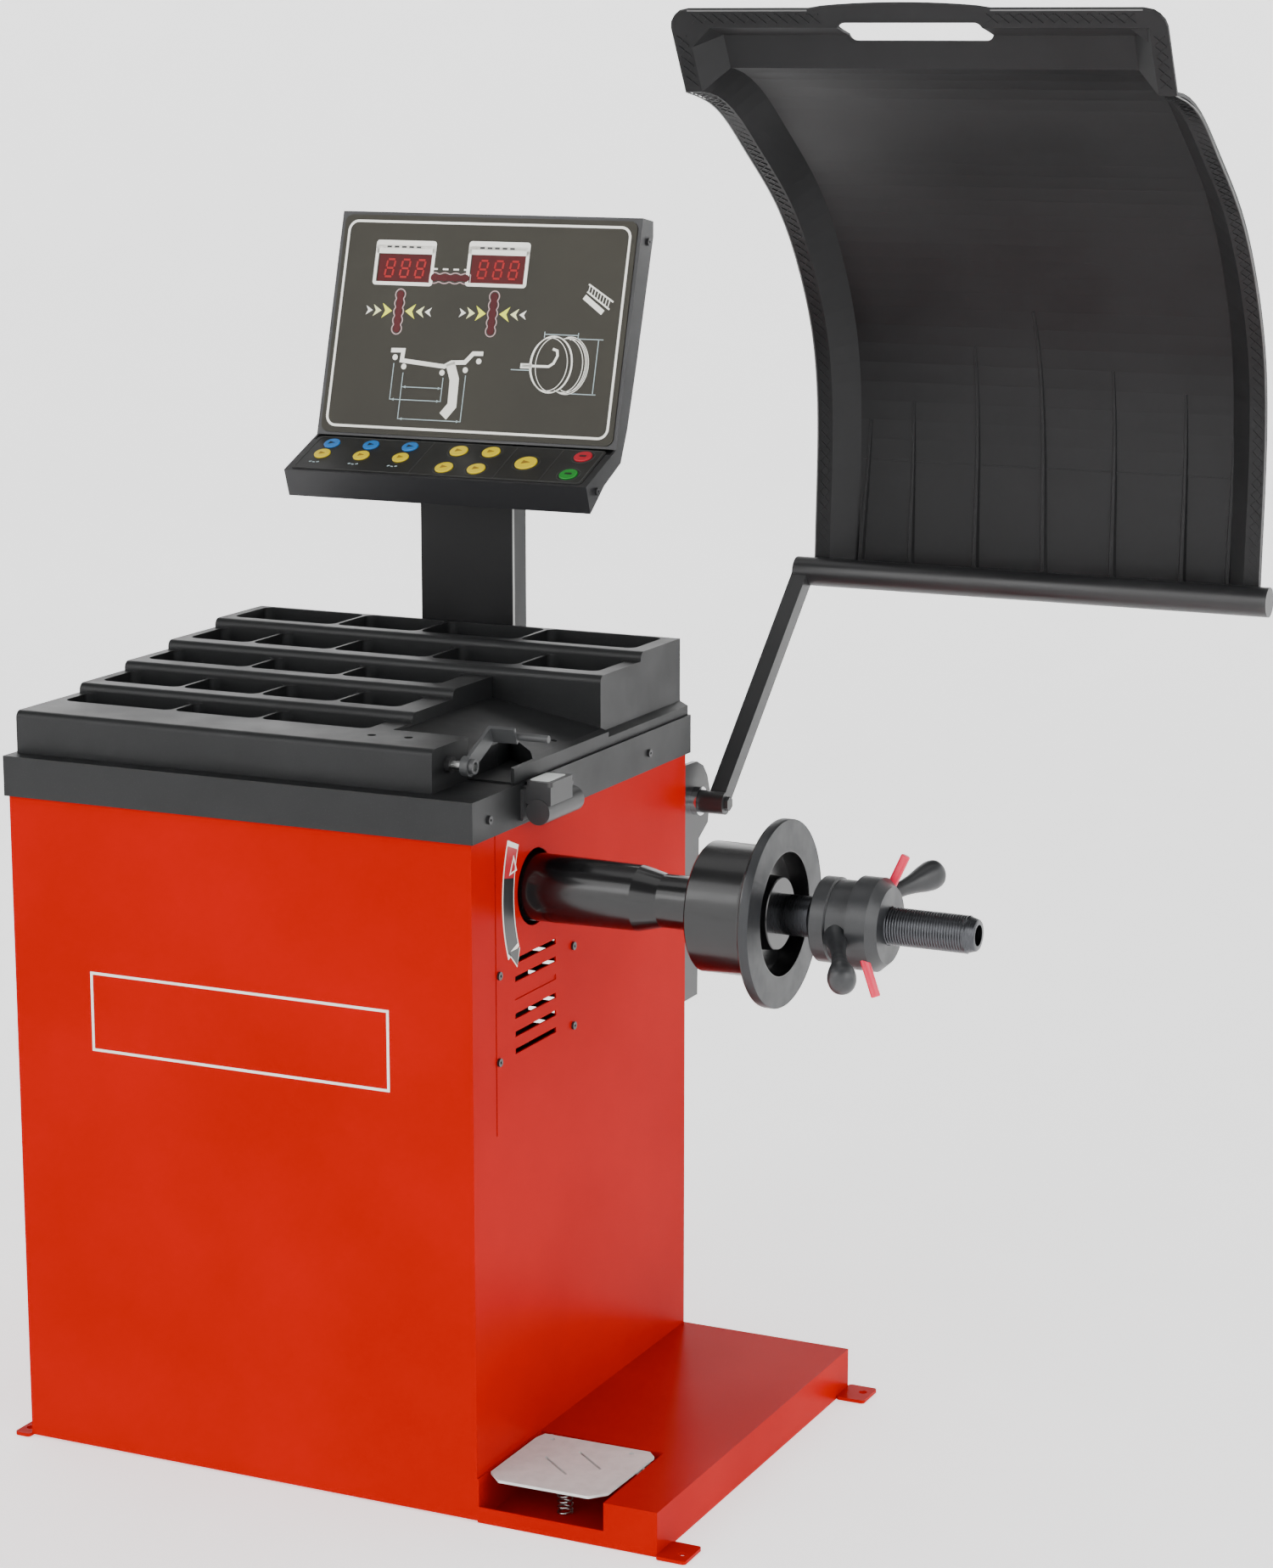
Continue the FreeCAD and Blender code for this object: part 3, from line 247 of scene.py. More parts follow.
# Black textured powder coat on the brackets and arms.
BLACK_COAT = Finish("black_powder_coat", "1c1c1d", "222223", (0.3, 0.42), grain_mm=1.0, grain=0.12)
# Thermoformed guard of dark polythene, satin, with slow waves from forming.
HOOD_PLASTIC = Finish("formed_guard_plastic", "131314", "1a1a1b", (0.42, 0.54), grain_mm=1.4, grain=0.12,
                      patch_mm=180, shine=0.25)
# Black-oxide turned steel: rings from the lathe tool about 0.5 mm apart.
OXIDE_STEEL = Finish("oxide_turned_steel", "4a4b4e", "3e3f42", (0.24, 0.34), metal=1.0, grain_mm=0.7,
                     grain=0.08, marks=Axis.ROUND_X)
# Turned steel drum, dipped in black oxide and oiled, so its rings show as streaks.
DARK_STEEL = Finish("dark_turned_drum", "080809", "0c0c0d", (0.2, 0.3), grain_mm=0.7, grain=0.15,
                    marks=Axis.ROUND_X, coat=0.1)
# Turned and blued flange rim: worn oxide over the last marks of the tool.
FLANGE_STEEL = Finish("blued_flange_rim", "2e2f31", "27282a", (0.34, 0.46), metal=0.4, grain_mm=0.7,
                      grain=0.2, marks=Axis.ROUND_X)
# Black lacquer over the turned shaft cover: glossy enough to show long reflections.
GLOSS_BLACK = Finish("gloss_black_lacquer", "070708", "0b0b0c", (0.16, 0.24), grain_mm=1.2, grain=0.05,
                     coat=0.1)
# Grey epoxy powder coat on the gauge's cast arm.
ARM_COAT = Finish("grey_coated_arm", "3a3b3c", "323334", (0.4, 0.5), grain_mm=1.0, grain=0.12)
# Near-black satin powder coat on the folded sheet post.
POST_COAT = Finish("near_black_post_coat", "0c0c0d", "101011", (0.3, 0.42), grain_mm=1.2, grain=0.08,
                   shine=0.2)
# Painted highlight: a pale grey strip that stands in for the light caught by the post's rounded right edge.
POST_EDGE_HIGHLIGHT = Finish("painted_post_highlight", "b4b4b2", "a2a2a0", (0.35, 0.45), grain_mm=0.8, grain=0.1)
# Painted highlight: a mid grey strip that stands in for the light caught by the guard's rolled edge.
HOOD_EDGE_HIGHLIGHT = Finish("painted_guard_highlight", "5c5c5c", "505050", (0.3, 0.4), grain_mm=1.0, grain=0.08)
# Die-cut vinyl sticker films, screen printed under a satin laminate.
STICKER_BLACK = Finish("black_sticker_film", "1f1f20", "262627", (0.35, 0.45), grain_mm=0.8, grain=0.03)
STICKER_RED = Finish("red_sticker_film", "b3202c", "a81c27", (0.35, 0.45), grain_mm=0.8, grain=0.03)
# Centreless-ground bright steel bar: fine scratches along its length.
BRIGHT_STEEL = Finish("ground_bright_steel", "b9bab8", "a5a6a4", (0.2, 0.34), metal=1.0, grain_mm=0.5,
                      grain=0.2, marks=Axis.ALONG_X)
# Bright chrome plate over a polished bush.
CHROME = Finish("chrome_plate", "d6d6d8", "c8c8cb", (0.06, 0.12), metal=1.0, grain_mm=0.8, grain=0.03)
# Hot-dip galvanised sheet: pale, with soft spangle patches about 12 mm across.
ZINC_SHEET = Finish("galvanised_sheet", "d2d5d3", "c6cac8", (0.38, 0.5), metal=0.2, grain_mm=2.0,
                    grain=0.1, patch_mm=14)
# Sand-cast iron under a brushed black primer.
CAST_IRON = Finish("painted_casting", "1c1d1e", "18191a", (0.5, 0.62), grain_mm=2.2, grain=0.3)
# Machined aluminium: faced and turned, with rings round the spindle's direction.
ALUMINIUM = Finish("machined_aluminium", "8c8e90", "7e8082", (0.26, 0.4), metal=1.0, grain_mm=0.6,
                   grain=0.15, marks=Axis.ROUND_X)
# Vulcanised rubber of the belt, matt from its mould.
RUBBER = Finish("black_rubber", "1c1c1c", "222222", (0.7, 0.8), grain_mm=0.8, grain=0.3)
# Fibreglass circuit board under green solder resist.
BOARD = Finish("green_circuit_board", "1c5a30", "174d28", (0.35, 0.5), grain_mm=1.0, grain=0.1)
# Injection-moulded ABS, black and satin.
MOULDED_BLACK = Finish("moulded_black_plastic", "232324", "29292a", (0.34, 0.44), grain_mm=0.8, grain=0.12)
# Glass-filled nylon of the quick nut: dark grey and slightly mottled.
NUT_NYLON = Finish("filled_nylon", "242527", "1d1e20", (0.32, 0.46), grain_mm=0.8, grain=0.18, patch_mm=30,
                   speck=0.05)
# Injection-moulded acetal of the release pins, coloured right through.
RELEASE_PINK = Finish("pink_moulded_plastic", "e01242", "d00e3a", (0.25, 0.35), grain_mm=0.8, grain=0.06)
# Cast acrylic lens, tinted dark red and polished.
LENS_RED = Finish("tinted_red_lens", "460306", "4e0508", (0.16, 0.24), grain_mm=1.0, grain=0.02,
                  shine=0.12)
# Unlit segments: translucent red epoxy poured into a dark mask.
DIGIT_RED = Finish("unlit_digit_red", "a31a1c", "991619", (0.4, 0.5), grain_mm=1.0, grain=0.02, shine=0.2)
# Unlit lamps: dark red moulded epoxy.
LAMP_RED = Finish("dark_red_lamp", "4a040a", "400308", (0.2, 0.28), grain_mm=1.0, grain=0.02, shine=0.15)
# Embossed polyester key tops, each screen printed in one colour.
KEY_BLUE = key_film("blue_key_film", "1c6fb8", "1866ac")
KEY_YELLOW = key_film("yellow_key_film", "d6be00", "ccb400")
KEY_RED = key_film("red_key_film", "b00a24", "a40820")
KEY_GREEN = key_film("green_key_film", "00801e", "00761a")
# Screen-printing inks of the panels, matt and slightly uneven.
WHITE_INK = ink("white_screen_ink", "efeee6", "e6e5dc")
PALE_INK = ink("pale_blue_ink", "a9bcc0", "9fb2b6")
ROSE_INK = ink("rose_ink", "c0a2a2", "b49696")
LEMON_INK = ink("lemon_ink", "e8ec3c", "dfe436")
CREAM_INK = ink("cream_ink", "e9ecb0", "e2e5a6")
BROWN_INK = ink("brown_icon_ink", "8a6a10", "7f600c")
GREY_INK = Finish("grey_zone_ink", "3a3a39", "414140", (0.45, 0.55), grain_mm=0.5, grain=0.05)

NODE_FINISHES: dict[Finish, tuple[str, ...]] = {
    RED_COAT: ("cabinet_shell", "rear_cover", "base_platform", "anchor_tabs"),
    TRAY_PLASTIC: ("weight_tray",),
    HOUSING_PAINT: ("display_housing",),
    POST_COAT: ("display_post",),
    GLOSS_BLACK: ("shaft_cover",),
    ARM_COAT: ("gauge_arm",),
    FACE_FILM: ("display_face",),
    DECK_FILM: ("keypad_face",),
    BLACK_COAT: ("hood_arm", "hood_bracket", "case_screws", "gauge_guide"),
    HOOD_PLASTIC: ("hood_shell",),
    MOULDED_BLACK: ("hood_end_cap", "power_inlet", "clamp_knob", "side_clamp"),
    OXIDE_STEEL: ("main_shaft",),
    DARK_STEEL: ("wheel_flange",),
    BRIGHT_STEEL: ("gauge_rod", "pedal_shaft", "brake_rod", "spindle_bearings", "encoder_disc",
                   "pedal_spring"),
    CHROME: ("hood_bush",),
    ZINC_SHEET: ("pedal_plate",),
    CAST_IRON: ("spindle_housing", "spindle_bracket", "brake_arm"),
    ALUMINIUM: ("force_sensors", "drive_motor", "shaft_pulley", "motor_pulley"),
    RUBBER: ("drive_belt",),
    BOARD: ("circuit_boards",),
    NUT_NYLON: ("nut_cup", "nut_housing", "nut_handles"),
    RELEASE_PINK: ("nut_pin_front", "nut_pin_rear"),
    LENS_RED: ("readout_windows",),
    LAMP_RED: ("led_lamps",),
    KEY_BLUE: ("key_blue_1", "key_blue_2", "key_blue_3"),
    KEY_YELLOW: ("key_small_1", "key_small_2", "key_small_3", "key_yellow_1", "key_yellow_2",
                 "key_yellow_3", "key_yellow_4", "key_start"),
    KEY_RED: ("key_stop", "power_switch"),
    KEY_GREEN: ("key_enter",),
}


# ------------------------------------------------------------------ mesh makers
def piece(name: str, points: np.ndarray, faces: list | np.ndarray, body: str, finish: Finish, slot: str,
          crease: float = 35.0) -> bpy.types.Object:
    """Put points and faces into a named piece that rides on a body.

    Args:
        name: the piece's name.
        points: an array of shape (n, 3), in millimetres from the cabinet's corner.
        faces: corner numbers of each face.
        body: the body that it moves with.
        finish: its finish.
        slot: the record's material slot.
        crease: edges sharper than this many degrees stay sharp.

    Returns:
        The new object.
    """
    mesh = bpy.data.meshes.new(name)
    mesh.from_pydata(to_row(points).tolist(), [], [list(map(int, face)) for face in faces])
    mesh.materials.append(finish.build())
    mesh.polygons.foreach_set("use_smooth", np.ones(len(mesh.polygons), bool))
    mesh.set_sharp_from_angle(angle=math.radians(crease))
    thing = bpy.data.objects.new(name, mesh)
    bpy.context.scene.collection.objects.link(thing)
    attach(thing, body)
    log.info("%s: %d faces on %s", name, len(mesh.polygons), body)
    return thing


def tube_faces(rings: int, around: int) -> np.ndarray:
    """Quads between rings of equal point count, each ring closed on itself.

    Args:
        rings: how many rings.
        around: the points of one ring.

    Returns:
        An array of shape ((rings - 1) * around, 4).
    """
    row, col = np.meshgrid(np.arange(rings - 1), np.arange(around), indexing="ij")
    after = (col + 1) % around
    quads = np.stack([row * around + col, row * around + after, (row + 1) * around + after,
                      (row + 1) * around + col], axis=-1)
    return quads.reshape(-1, 4)


def slab(outline: np.ndarray, low: float, high: float) -> tuple[np.ndarray, list]:
    """A flat plate: one outline at two heights, with its two lids.

    Args:
        outline: an array of shape (n, 2), anticlockwise seen from outside.
        low: the height of the back.
        high: the height of the front.

    Returns:
        Points (u, v, w) and faces.
    """
    count = len(outline)
    back = np.column_stack([outline, np.full(count, low)])
    front = np.column_stack([outline, np.full(count, high)])
    faces = tube_faces(2, count).tolist()
    return np.vstack([back, front]), faces + [list(range(count))[::-1], list(range(count, 2 * count))]


def stroke(path: np.ndarray, wide: float, low: float, high: float, closed: bool = False,
           ) -> tuple[np.ndarray, list]:
    """A printed line: four rails carried along a path at mitred corners.

    Each corner moves out along the mean of its two sides' normals, divided by the cosine of half the
    turn, so the line keeps its width.

    Args:
        path: an array of shape (n, 2).
        wide: the line's width.
        low: the height of its back.
        high: the height of its front.
        closed: whether the path returns to its start.

    Returns:
        Points (u, v, w) and faces.
    """
    path = np.asarray(path, float)
    before = np.roll(path, 1, 0) if closed else np.vstack([2 * path[0] - path[1], path[:-1]])
    after = np.roll(path, -1, 0) if closed else np.vstack([path[1:], 2 * path[-1] - path[-2]])
    into, out = path - before, after - path
    into /= np.linalg.norm(into, axis=1, keepdims=True)
    out /= np.linalg.norm(out, axis=1, keepdims=True)
    normal = np.stack([-(into + out)[:, 1], (into + out)[:, 0]], axis=1)
    normal /= np.linalg.norm(normal, axis=1, keepdims=True)
    stretch = 1 / np.maximum(np.abs(np.sum(normal * np.stack([-out[:, 1], out[:, 0]], 1), 1)), 0.4)
    side = normal * stretch[:, None] * wide / 2
    rails = [np.column_stack([path + side, np.full(len(path), low)]),
             np.column_stack([path - side, np.full(len(path), low)]),
             np.column_stack([path - side, np.full(len(path), high)]),
             np.column_stack([path + side, np.full(len(path), high)])]
    points = np.stack(rails, axis=1).reshape(-1, 3)
    faces = tube_faces(len(path), 4)[:, ::-1].tolist()
    last = (len(path) - 1) * 4
    if closed:
        faces += [[last + a, last + b, b, a][::-1] for a, b in ((0, 1), (1, 2), (2, 3), (3, 0))]
    else:
        faces += [[0, 1, 2, 3], [last + 3, last + 2, last + 1, last]]
    return points, faces


def merged(parts: list) -> tuple[np.ndarray, list]:
    """Several (points, faces) pairs as one.

    Args:
        parts: the pairs.

    Returns:
        One pair with its face numbers moved on.
    """
    points, faces, count = [], [], 0
    for some, corners in parts:
        points.append(some)
        faces += [[count + corner for corner in face] for face in corners]
        count += len(some)
    return np.vstack(points), faces


def rounded_box(left: float, top: float, right: float, low: float, radius: float,
                steps: int = 8) -> np.ndarray:
    """A rectangle with quarter circles at its corners, v growing downwards.

    Returns:
        An array of shape (4 * steps, 2).
    """
    turns = np.linspace(0, math.pi / 2, steps)
    middles = np.array([(right - radius, low - radius), (left + radius, low - radius),
                        (left + radius, top + radius), (right - radius, top + radius)])
    angle = turns[None, :] + np.arange(4)[:, None] * math.pi / 2
    arc = np.stack([np.cos(angle), np.sin(angle)], -1) * radius
    return (middles[:, None, :] + arc).reshape(-1, 2)


def circle(u: float, v: float, across: float, down: float | None = None, count: int = 32) -> np.ndarray:
    """Points on an ellipse round (u, v) with the two given radii."""
    turn = np.linspace(0, 2 * math.pi, count, endpoint=False)
    return np.stack([u + across * np.cos(turn), v + (down or across) * np.sin(turn)], 1)


def lathe(profile: np.ndarray, centre: tuple[float, float], around: int = 96) -> tuple[np.ndarray, list]:
    """A surface of revolution about X: ring k has radius r_k at x_k, and its ends are closed.

    Args:
        profile: rows of (x, r); the first and the last radius may be small but not zero.
        centre: the axis's y and z.
        around: points on each ring.

    Returns:
        Points and faces.
    """
    turn = np.linspace(0, 2 * math.pi, around, endpoint=False)
    x, r = np.asarray(profile, float).T
    points = np.stack([np.repeat(x[:, None], around, 1), centre[0] + r[:, None] * np.cos(turn),
                       centre[1] + r[:, None] * np.sin(turn)], -1).reshape(-1, 3)
    faces = tube_faces(len(x), around).tolist()
    last = (len(x) - 1) * around
    return points, faces + [list(range(around))[::-1], list(range(last, last + around))]


def pipe(path: np.ndarray, radius: float, around: int = 10) -> tuple[np.ndarray, list]:
    """A round wire: at each point a circle in the plane of a fixed side vector and the path's binormal.

    Args:
        path: an array of shape (n, 3).
        radius: the wire's radius.
        around: points on each circle.

    Returns:
        Points and faces.
    """
    run = np.gradient(path, axis=0)
    run /= np.linalg.norm(run, axis=1, keepdims=True)
    side = np.cross(run, np.array([0.31, 0.17, 0.93]))
    side /= np.linalg.norm(side, axis=1, keepdims=True)
    other = np.cross(run, side)
    turn = np.linspace(0, 2 * math.pi, around, endpoint=False)
    points = (path[:, None] + radius * (np.cos(turn)[None, :, None] * side[:, None]
                                        + np.sin(turn)[None, :, None] * other[:, None])).reshape(-1, 3)
    last = (len(path) - 1) * around
    faces = tube_faces(len(path), around).tolist()
    return points, faces + [list(range(around))[::-1], list(range(last, last + around))]


# ------------------------------------------------------------------ sub-assemblies
@dataclass
class Cabinet:
    """The red sheet steel box: the plain printed panel, the side sticker, a small bright plate and a painted
    highlight on the post's edge.
    """

    wide: float = 576.0
    front: tuple[float, float, float, float] = (101.0, 471.5, 474.0, 559.0)
    line: float = 3.0
    strip: tuple[float, float, float] = (95.0, 82.5, 93.5)

    def build(self) -> None:
        """Print the plain panel on the front and lay the sticker on the right side."""
        left, low, right, high = self.front
        corners = np.array([(left, low), (right, low), (right, high), (left, high)])
        points, faces = stroke(corners, self.line, 0.0, 0.35, closed=True)
        placed = np.stack([points[:, 0], -points[:, 2], points[:, 1]], 1)
        piece("front_panel_print", placed, faces, "machine", WHITE_INK, "panel_plastic")
        self.sticker()
        self.bright_parts()

    def sticker(self) -> None:
        """A curved strip with a pointed foot: white edge, black band, red head and a white triangle.

        Its middle line is the parabola through its three named y values at z 733, 671 and 615.
        """
        curve = np.polyfit([733, 671, 615], self.strip, 2)
        tall = np.linspace(733, 612, 24)
        path = np.stack([np.polyval(curve, tall), tall], 1)
        foot = path[-1]
        layers = []
        for name, some, half, low, high, finish in (
                ("strip_edge", path, 13.5, 0.0, 0.25, WHITE_INK), ("strip_band", path[1:-1], 11.6, 0.2, 0.45,
                                                                   STICKER_BLACK),
                ("strip_head", path[1:8], 11.6, 0.4, 0.6, STICKER_RED)):
            parts = [stroke(some, 2 * half, low, high)]
            if name != "strip_head":
                tip = np.array([(foot[0] - half, foot[1] + 3), (foot[0] + 8, foot[1] - 4 - half),
                                (foot[0] + half + 1, foot[1] + 3)])
                parts.append(slab(tip, low, high))
            layers.append((name, parts, finish))
        mark = stroke(np.array([(86.0, 700.0), (101.0, 702.0), (95.0, 717.0)]), 1.8, 0.55, 0.75, closed=True)
        layers.append(("strip_triangle", [mark], WHITE_INK))
        for name, parts, finish in layers:
            points, faces = merged(parts)
            placed = np.stack([self.wide + points[:, 2], points[:, 0], points[:, 1]], 1)
            piece(name, placed, faces, "machine", finish, "panel_plastic")

    def bright_parts(self) -> None:
        """The chrome plate on the side clamp, and a painted highlight along the right edge of the display's
        post.
        """
        points, faces = slab(rounded_box(584, 118, 607, 160, 3), 796.9, 797.5)
        piece("clamp_top_plate", points, faces, "machine", ZINC_SHEET, "bright_steel")
        # Painted highlight: a thin pale prism along the post's right front edge stands in for the light on
        # its rounded edge.
        points, faces = slab(np.array([(345.6, 544.7), (347.3, 544.7), (347.3, 546.4)]), 798, 1046)
        piece("post_edge_highlight", points, faces, "machine", POST_EDGE_HIGHLIGHT, "housing_plastic")


@dataclass
class Display:
    """The tilted panel with its numbers, lamps and printed diagrams, and the key deck."""

    ink: float = 0.35
    base: float = 1.5
    film: float = 0.8
    columns: tuple[tuple[float, float], ...] = ((92.5, 99.8), (219.0, 98.4))
    keys: dict[str, tuple[float, float, float]] = field(default_factory=lambda: {
        "key_blue_1": (32.7, 21.7, 10), "key_blue_2": (85.6, 20.8, 10), "key_blue_3": (138.2, 19.9, 10),
        "key_small_1": (32.1, 46.4, 10), "key_small_2": (85.1, 46, 10), "key_small_3": (138.1, 45.7, 10),
        "key_yellow_1": (205.3, 23.2, 11), "key_yellow_2": (247.4, 21.6, 11),
        "key_yellow_3": (204.5, 62.4, 11), "key_yellow_4": (246.4, 61.2, 11),
        "key_start": (302.6, 41.8, 13.5), "key_stop": (367, 20.5, 11), "key_enter": (366.7, 61.9, 11)})

    def put(self, name: str, parts: list, finish: Finish, slot: str = "panel_plastic", lift: float = 0.0,
            panel: Plane = Plane.FACE, body: str = "machine") -> None:
        """Lay flat parts on a panel.

        Args:
            name: the piece's name.
            parts: (points, faces) pairs in u, v and w.
            finish: their finish.
            slot: the record's slot.
            lift: how far above the printed film they start.
            panel: the panel.
            body: the body that carries them.
        """
        points, faces = merged(parts)
        points = points.copy()
        points[:, 2] += lift + (self.base if panel is Plane.FACE else self.film)
        piece(name, on_panel(panel, points), [face[::-1] for face in faces], body, finish, slot)

    def line(self, points: list, wide: float, closed: bool = False) -> tuple[np.ndarray, list]:
        """A printed line through some points."""
        return stroke(np.array(points, float), wide, 0.0, self.ink, closed)

    def solid(self, outline: np.ndarray) -> tuple[np.ndarray, list]:
        """A printed area inside an outline."""
        return slab(np.asarray(outline, float), 0.0, self.ink)

    def build(self) -> None:
        """Make the face's print, the numbers, the lamps' rims and the key deck."""
        self.put("face_outline", [self.line(rounded_box(12, 12, 387, 261, 12), 3.0, True)], WHITE_INK)
        self.frames()
        self.digits()
        self.lamp_rims()
        self.arrows()
        self.rim_drawing()
        self.wheel_drawing()
        self.key_deck()

    def frames(self) -> None:
        """The white frames of the two number windows, each a ring with a broad header."""
        parts = []
        for left, top, right, low in ((52, 34.4, 133.5, 89), (177.5, 33, 259, 87.5)):
            parts.append(self.solid(rounded_box(left, top, right, top + 16.2, 4)))
            parts.append(self.line(rounded_box(left + 2.2, top + 8, right - 2.2, low - 2.2, 2), 4.2, True))
        self.put("window_frames", parts, WHITE_INK, lift=0.02)
        dashes = [self.line([[left + 14 + 10 * k, top + 8], [left + 20 + 10 * k, top + 8]], 2.2)
                  for left, top in ((53, 34.4), (178.5, 33)) for k in range(5)]
        self.put("header_marks", dashes, DECK_FILM, lift=0.4)

    def digits(self) -> None:
        """Three seven-segment figures behind each lens: bars with pointed ends."""
        bars = []
        ends = {"a": ((-1, -1), (1, -1)), "b": ((1, -1), (1, 0)), "c": ((1, 0), (1, 1)),
                "d": ((-1, 1), (1, 1)), "e": ((-1, 0), (-1, 1)), "f": ((-1, -1), (-1, 0)),
                "g": ((-1, 0), (1, 0))}
        for left, middle in ((57.6, 68), (183, 66.5)):
            for k in range(3):
                centre = left + 16 + 20.5 * k
                for start, end in ends.values():
                    a, b = np.array(start, float), np.array(end, float)
                    run = (b - a) / np.linalg.norm(b - a)
                    spots = [np.array([centre + 5.2 * p[0] - 1.4 * p[1], middle + 10.5 * p[1]])
                             for p in (a + run * 0.16, b - run * 0.16)]
                    bars.append(stroke(np.array(spots), 2.3, 0, 0.25))
        self.put("number_segments", bars, DIGIT_RED, "window_red", lift=-0.35)

    def lamp_rims(self) -> None:
        """Scalloped outlines round the lamp columns and the lamp row, and the row's dashes."""
        parts = []
        for u, v0 in self.columns:
            centres = v0 + 10.4 * np.arange(5)
            turn = np.radians(np.linspace(-42, 42, 9))
            right = np.concatenate([np.stack([u + 6.6 * np.cos(turn), v + 6.6 * np.sin(turn)], 1)
                                    for v in centres])
            cap = np.radians(np.linspace(60, 120, 5))
            low = np.stack([u + 6.6 * np.cos(cap), centres[-1] + 6.6 * np.sin(cap)], 1)
            left = np.stack([2 * u - right[::-1, 0], right[::-1, 1]], 1)
            high = np.stack([u - 6.6 * np.cos(cap), centres[0] - 6.6 * np.sin(cap)], 1)
            parts.append(self.line(np.concatenate([right, low, left, high]).tolist(), 1.1, True))
        centres = 135 + 14.3 * np.arange(4)
        turn = np.radians(np.linspace(-130, -50, 9))
        top = np.concatenate([np.stack([u + 9.2 * np.cos(turn), 79.5 + 7.5 * np.sin(turn)], 1)
                              for u in centres])
        bottom = np.stack([top[::-1, 0], 157 - top[::-1, 1]], 1)
        parts.append(self.line(np.concatenate([top, bottom]).tolist(), 1.1, True))
        self.put("lamp_rims", parts, ROSE_INK)
        dashes = [self.line([[u - 3.6, 67.8], [u + 3.6, 67.8]], 2.0) for u in centres]
        self.put("row_dashes", dashes, WHITE_INK)
        webs = [self.solid(rounded_box(u - 4.2, v0 - 1, u + 4.2, v0 + 42.6, 2)) for u, v0 in self.columns]
        self.put("lamp_webs", webs + [self.solid(rounded_box(133, 74.5, 180, 81.5, 2))], LAMP_RED, "lamp_red",
                 lift=-0.1)

    def arrows(self) -> None:
        """Notched arrowheads that grow and turn yellow towards each lamp column."""
        sets: dict[Finish, list] = {WHITE_INK: [], CREAM_INK: [], LEMON_INK: []}
        heads = (((48, 9, 5.5), WHITE_INK), ((58, 11, 7), CREAM_INK), ((70, 13.5, 9), LEMON_INK))
        for shift in (0.0, 126.6):
            for (start, long, half), ink in heads:
                for sign in (1, -1):
                    tip = start + long if sign > 0 else 2 * 92.5 - start - long
                    back = tip - sign * long
                    shape = np.array([[tip, 0], [back, half], [back + sign * long * 0.32, 0], [back, -half]])
                    shape = shape + [shift, 120 - shift * 0.006]
                    sets[ink].append(self.solid(shape if sign > 0 else shape[::-1]))
        for ink, parts in sets.items():
            self.put(f"arrows_{ink.name}", parts, ink)

    def rim_drawing(self) -> None:
        """The section of a rim, the five weight places on it, and three measuring lines."""
        flat = [(89, 167.5), (105.5, 167.1), (104.8, 179.3), (163, 184.5), (172, 179.5), (190, 178.5),
                (199.9, 167.5), (213, 167.2)]
        stem = [(170.5, 180), (178.6, 199.4), (179.5, 230.6), (169, 244)]
        dots = [self.solid(circle(u, v, 3.4)) for u, v in ((95.3, 175.8), (108.5, 186.6), (161, 192),
                                                           (191.7, 187.7), (208.3, 176.5))]
        self.put("rim_section", [self.line(flat, 5.2), self.line(stem, 12)], WHITE_INK)
        self.put("weight_places", dots, WHITE_INK)
        rules = [[(94.6, 183), (94.6, 227)], [(108.5, 194), (108.5, 250)], [(163.3, 198), (163.3, 227)],
                 [(193, 194), (193, 250)], [(109, 211), (163, 211)], [(94, 226.5), (164, 226.5)],
                 [(108, 249.5), (193.6, 249.5)]]
        self.put("measuring_lines", [self.line(rule, 0.9) for rule in rules], PALE_INK)
        ticks = [self.solid(np.array([[u, v], [u + s * 4, v - 1.6], [u + s * 4, v + 1.6]])[::s])
                 for u, v, s in ((110, 211, 1), (162, 211, -1), (96, 226.5, 1), (162, 226.5, -1),
                                 (110, 249.5, 1), (191.5, 249.5, -1))]
        self.put("line_ends", ticks, PALE_INK)

    def wheel_drawing(self) -> None:
        """The wheel in outline: two sets of ellipses, the gauge reaching in, and the brackets."""
        loops = []
        for u, v, across, down, wide in ((304, 176.5, 26.5, 33.5, 1.5), (300.5, 176.5, 24.5, 31.5, 0.9),
                                         (307.5, 176.5, 24, 32.5, 0.8)):
            loops.append(self.line(circle(u, v, across, down, 48).tolist(), wide, True))
        turn = np.radians(np.linspace(-100, 112, 30))
        for u, across, down in ((326, 26.5, 34), (323.5, 25, 33), (321, 24, 32), (328.5, 22, 31)):
            arc = np.stack([u + across * np.cos(turn), 177 + down * np.sin(turn)], 1)
            loops.append(self.line(arc.tolist(), 0.9))
        self.put("wheel_outline", loops, WHITE_INK)
        arm = [(266, 179.5), (301, 179), (307, 175), (311, 166), (310, 160), (304, 158)]
        self.put("gauge_outline", [self.line(arm, 3.0), self.line([(264, 179.6), (279, 179.4)], 6)],
                 WHITE_INK)
        rules = [[(291, 141), (335, 141)], [(291, 138), (291, 145)], [(335, 138), (335, 145)],
                 [(362, 146), (362, 209)], [(334, 145), (368, 145)], [(334, 210), (366, 210)],
                 [(252, 184.5), (276, 184.5)]]
        self.put("bracket_lines", [self.line(rule, 0.9) for rule in rules], PALE_INK)
        comb = [self.line([(341, 80), (375, 100)], 2.0), self.line([(340, 89), (371, 109)], 2.0)]
        comb += [self.line([(343 + 3.9 * k, 82 + 2.3 * k), (341.5 + 3.9 * k, 90 + 2.3 * k)], 1.1)
                 for k in range(8)]
        comb += [self.line([(337, 95), (363, 113)], 6.5)]
        self.put("weight_drawing", comb, WHITE_INK)

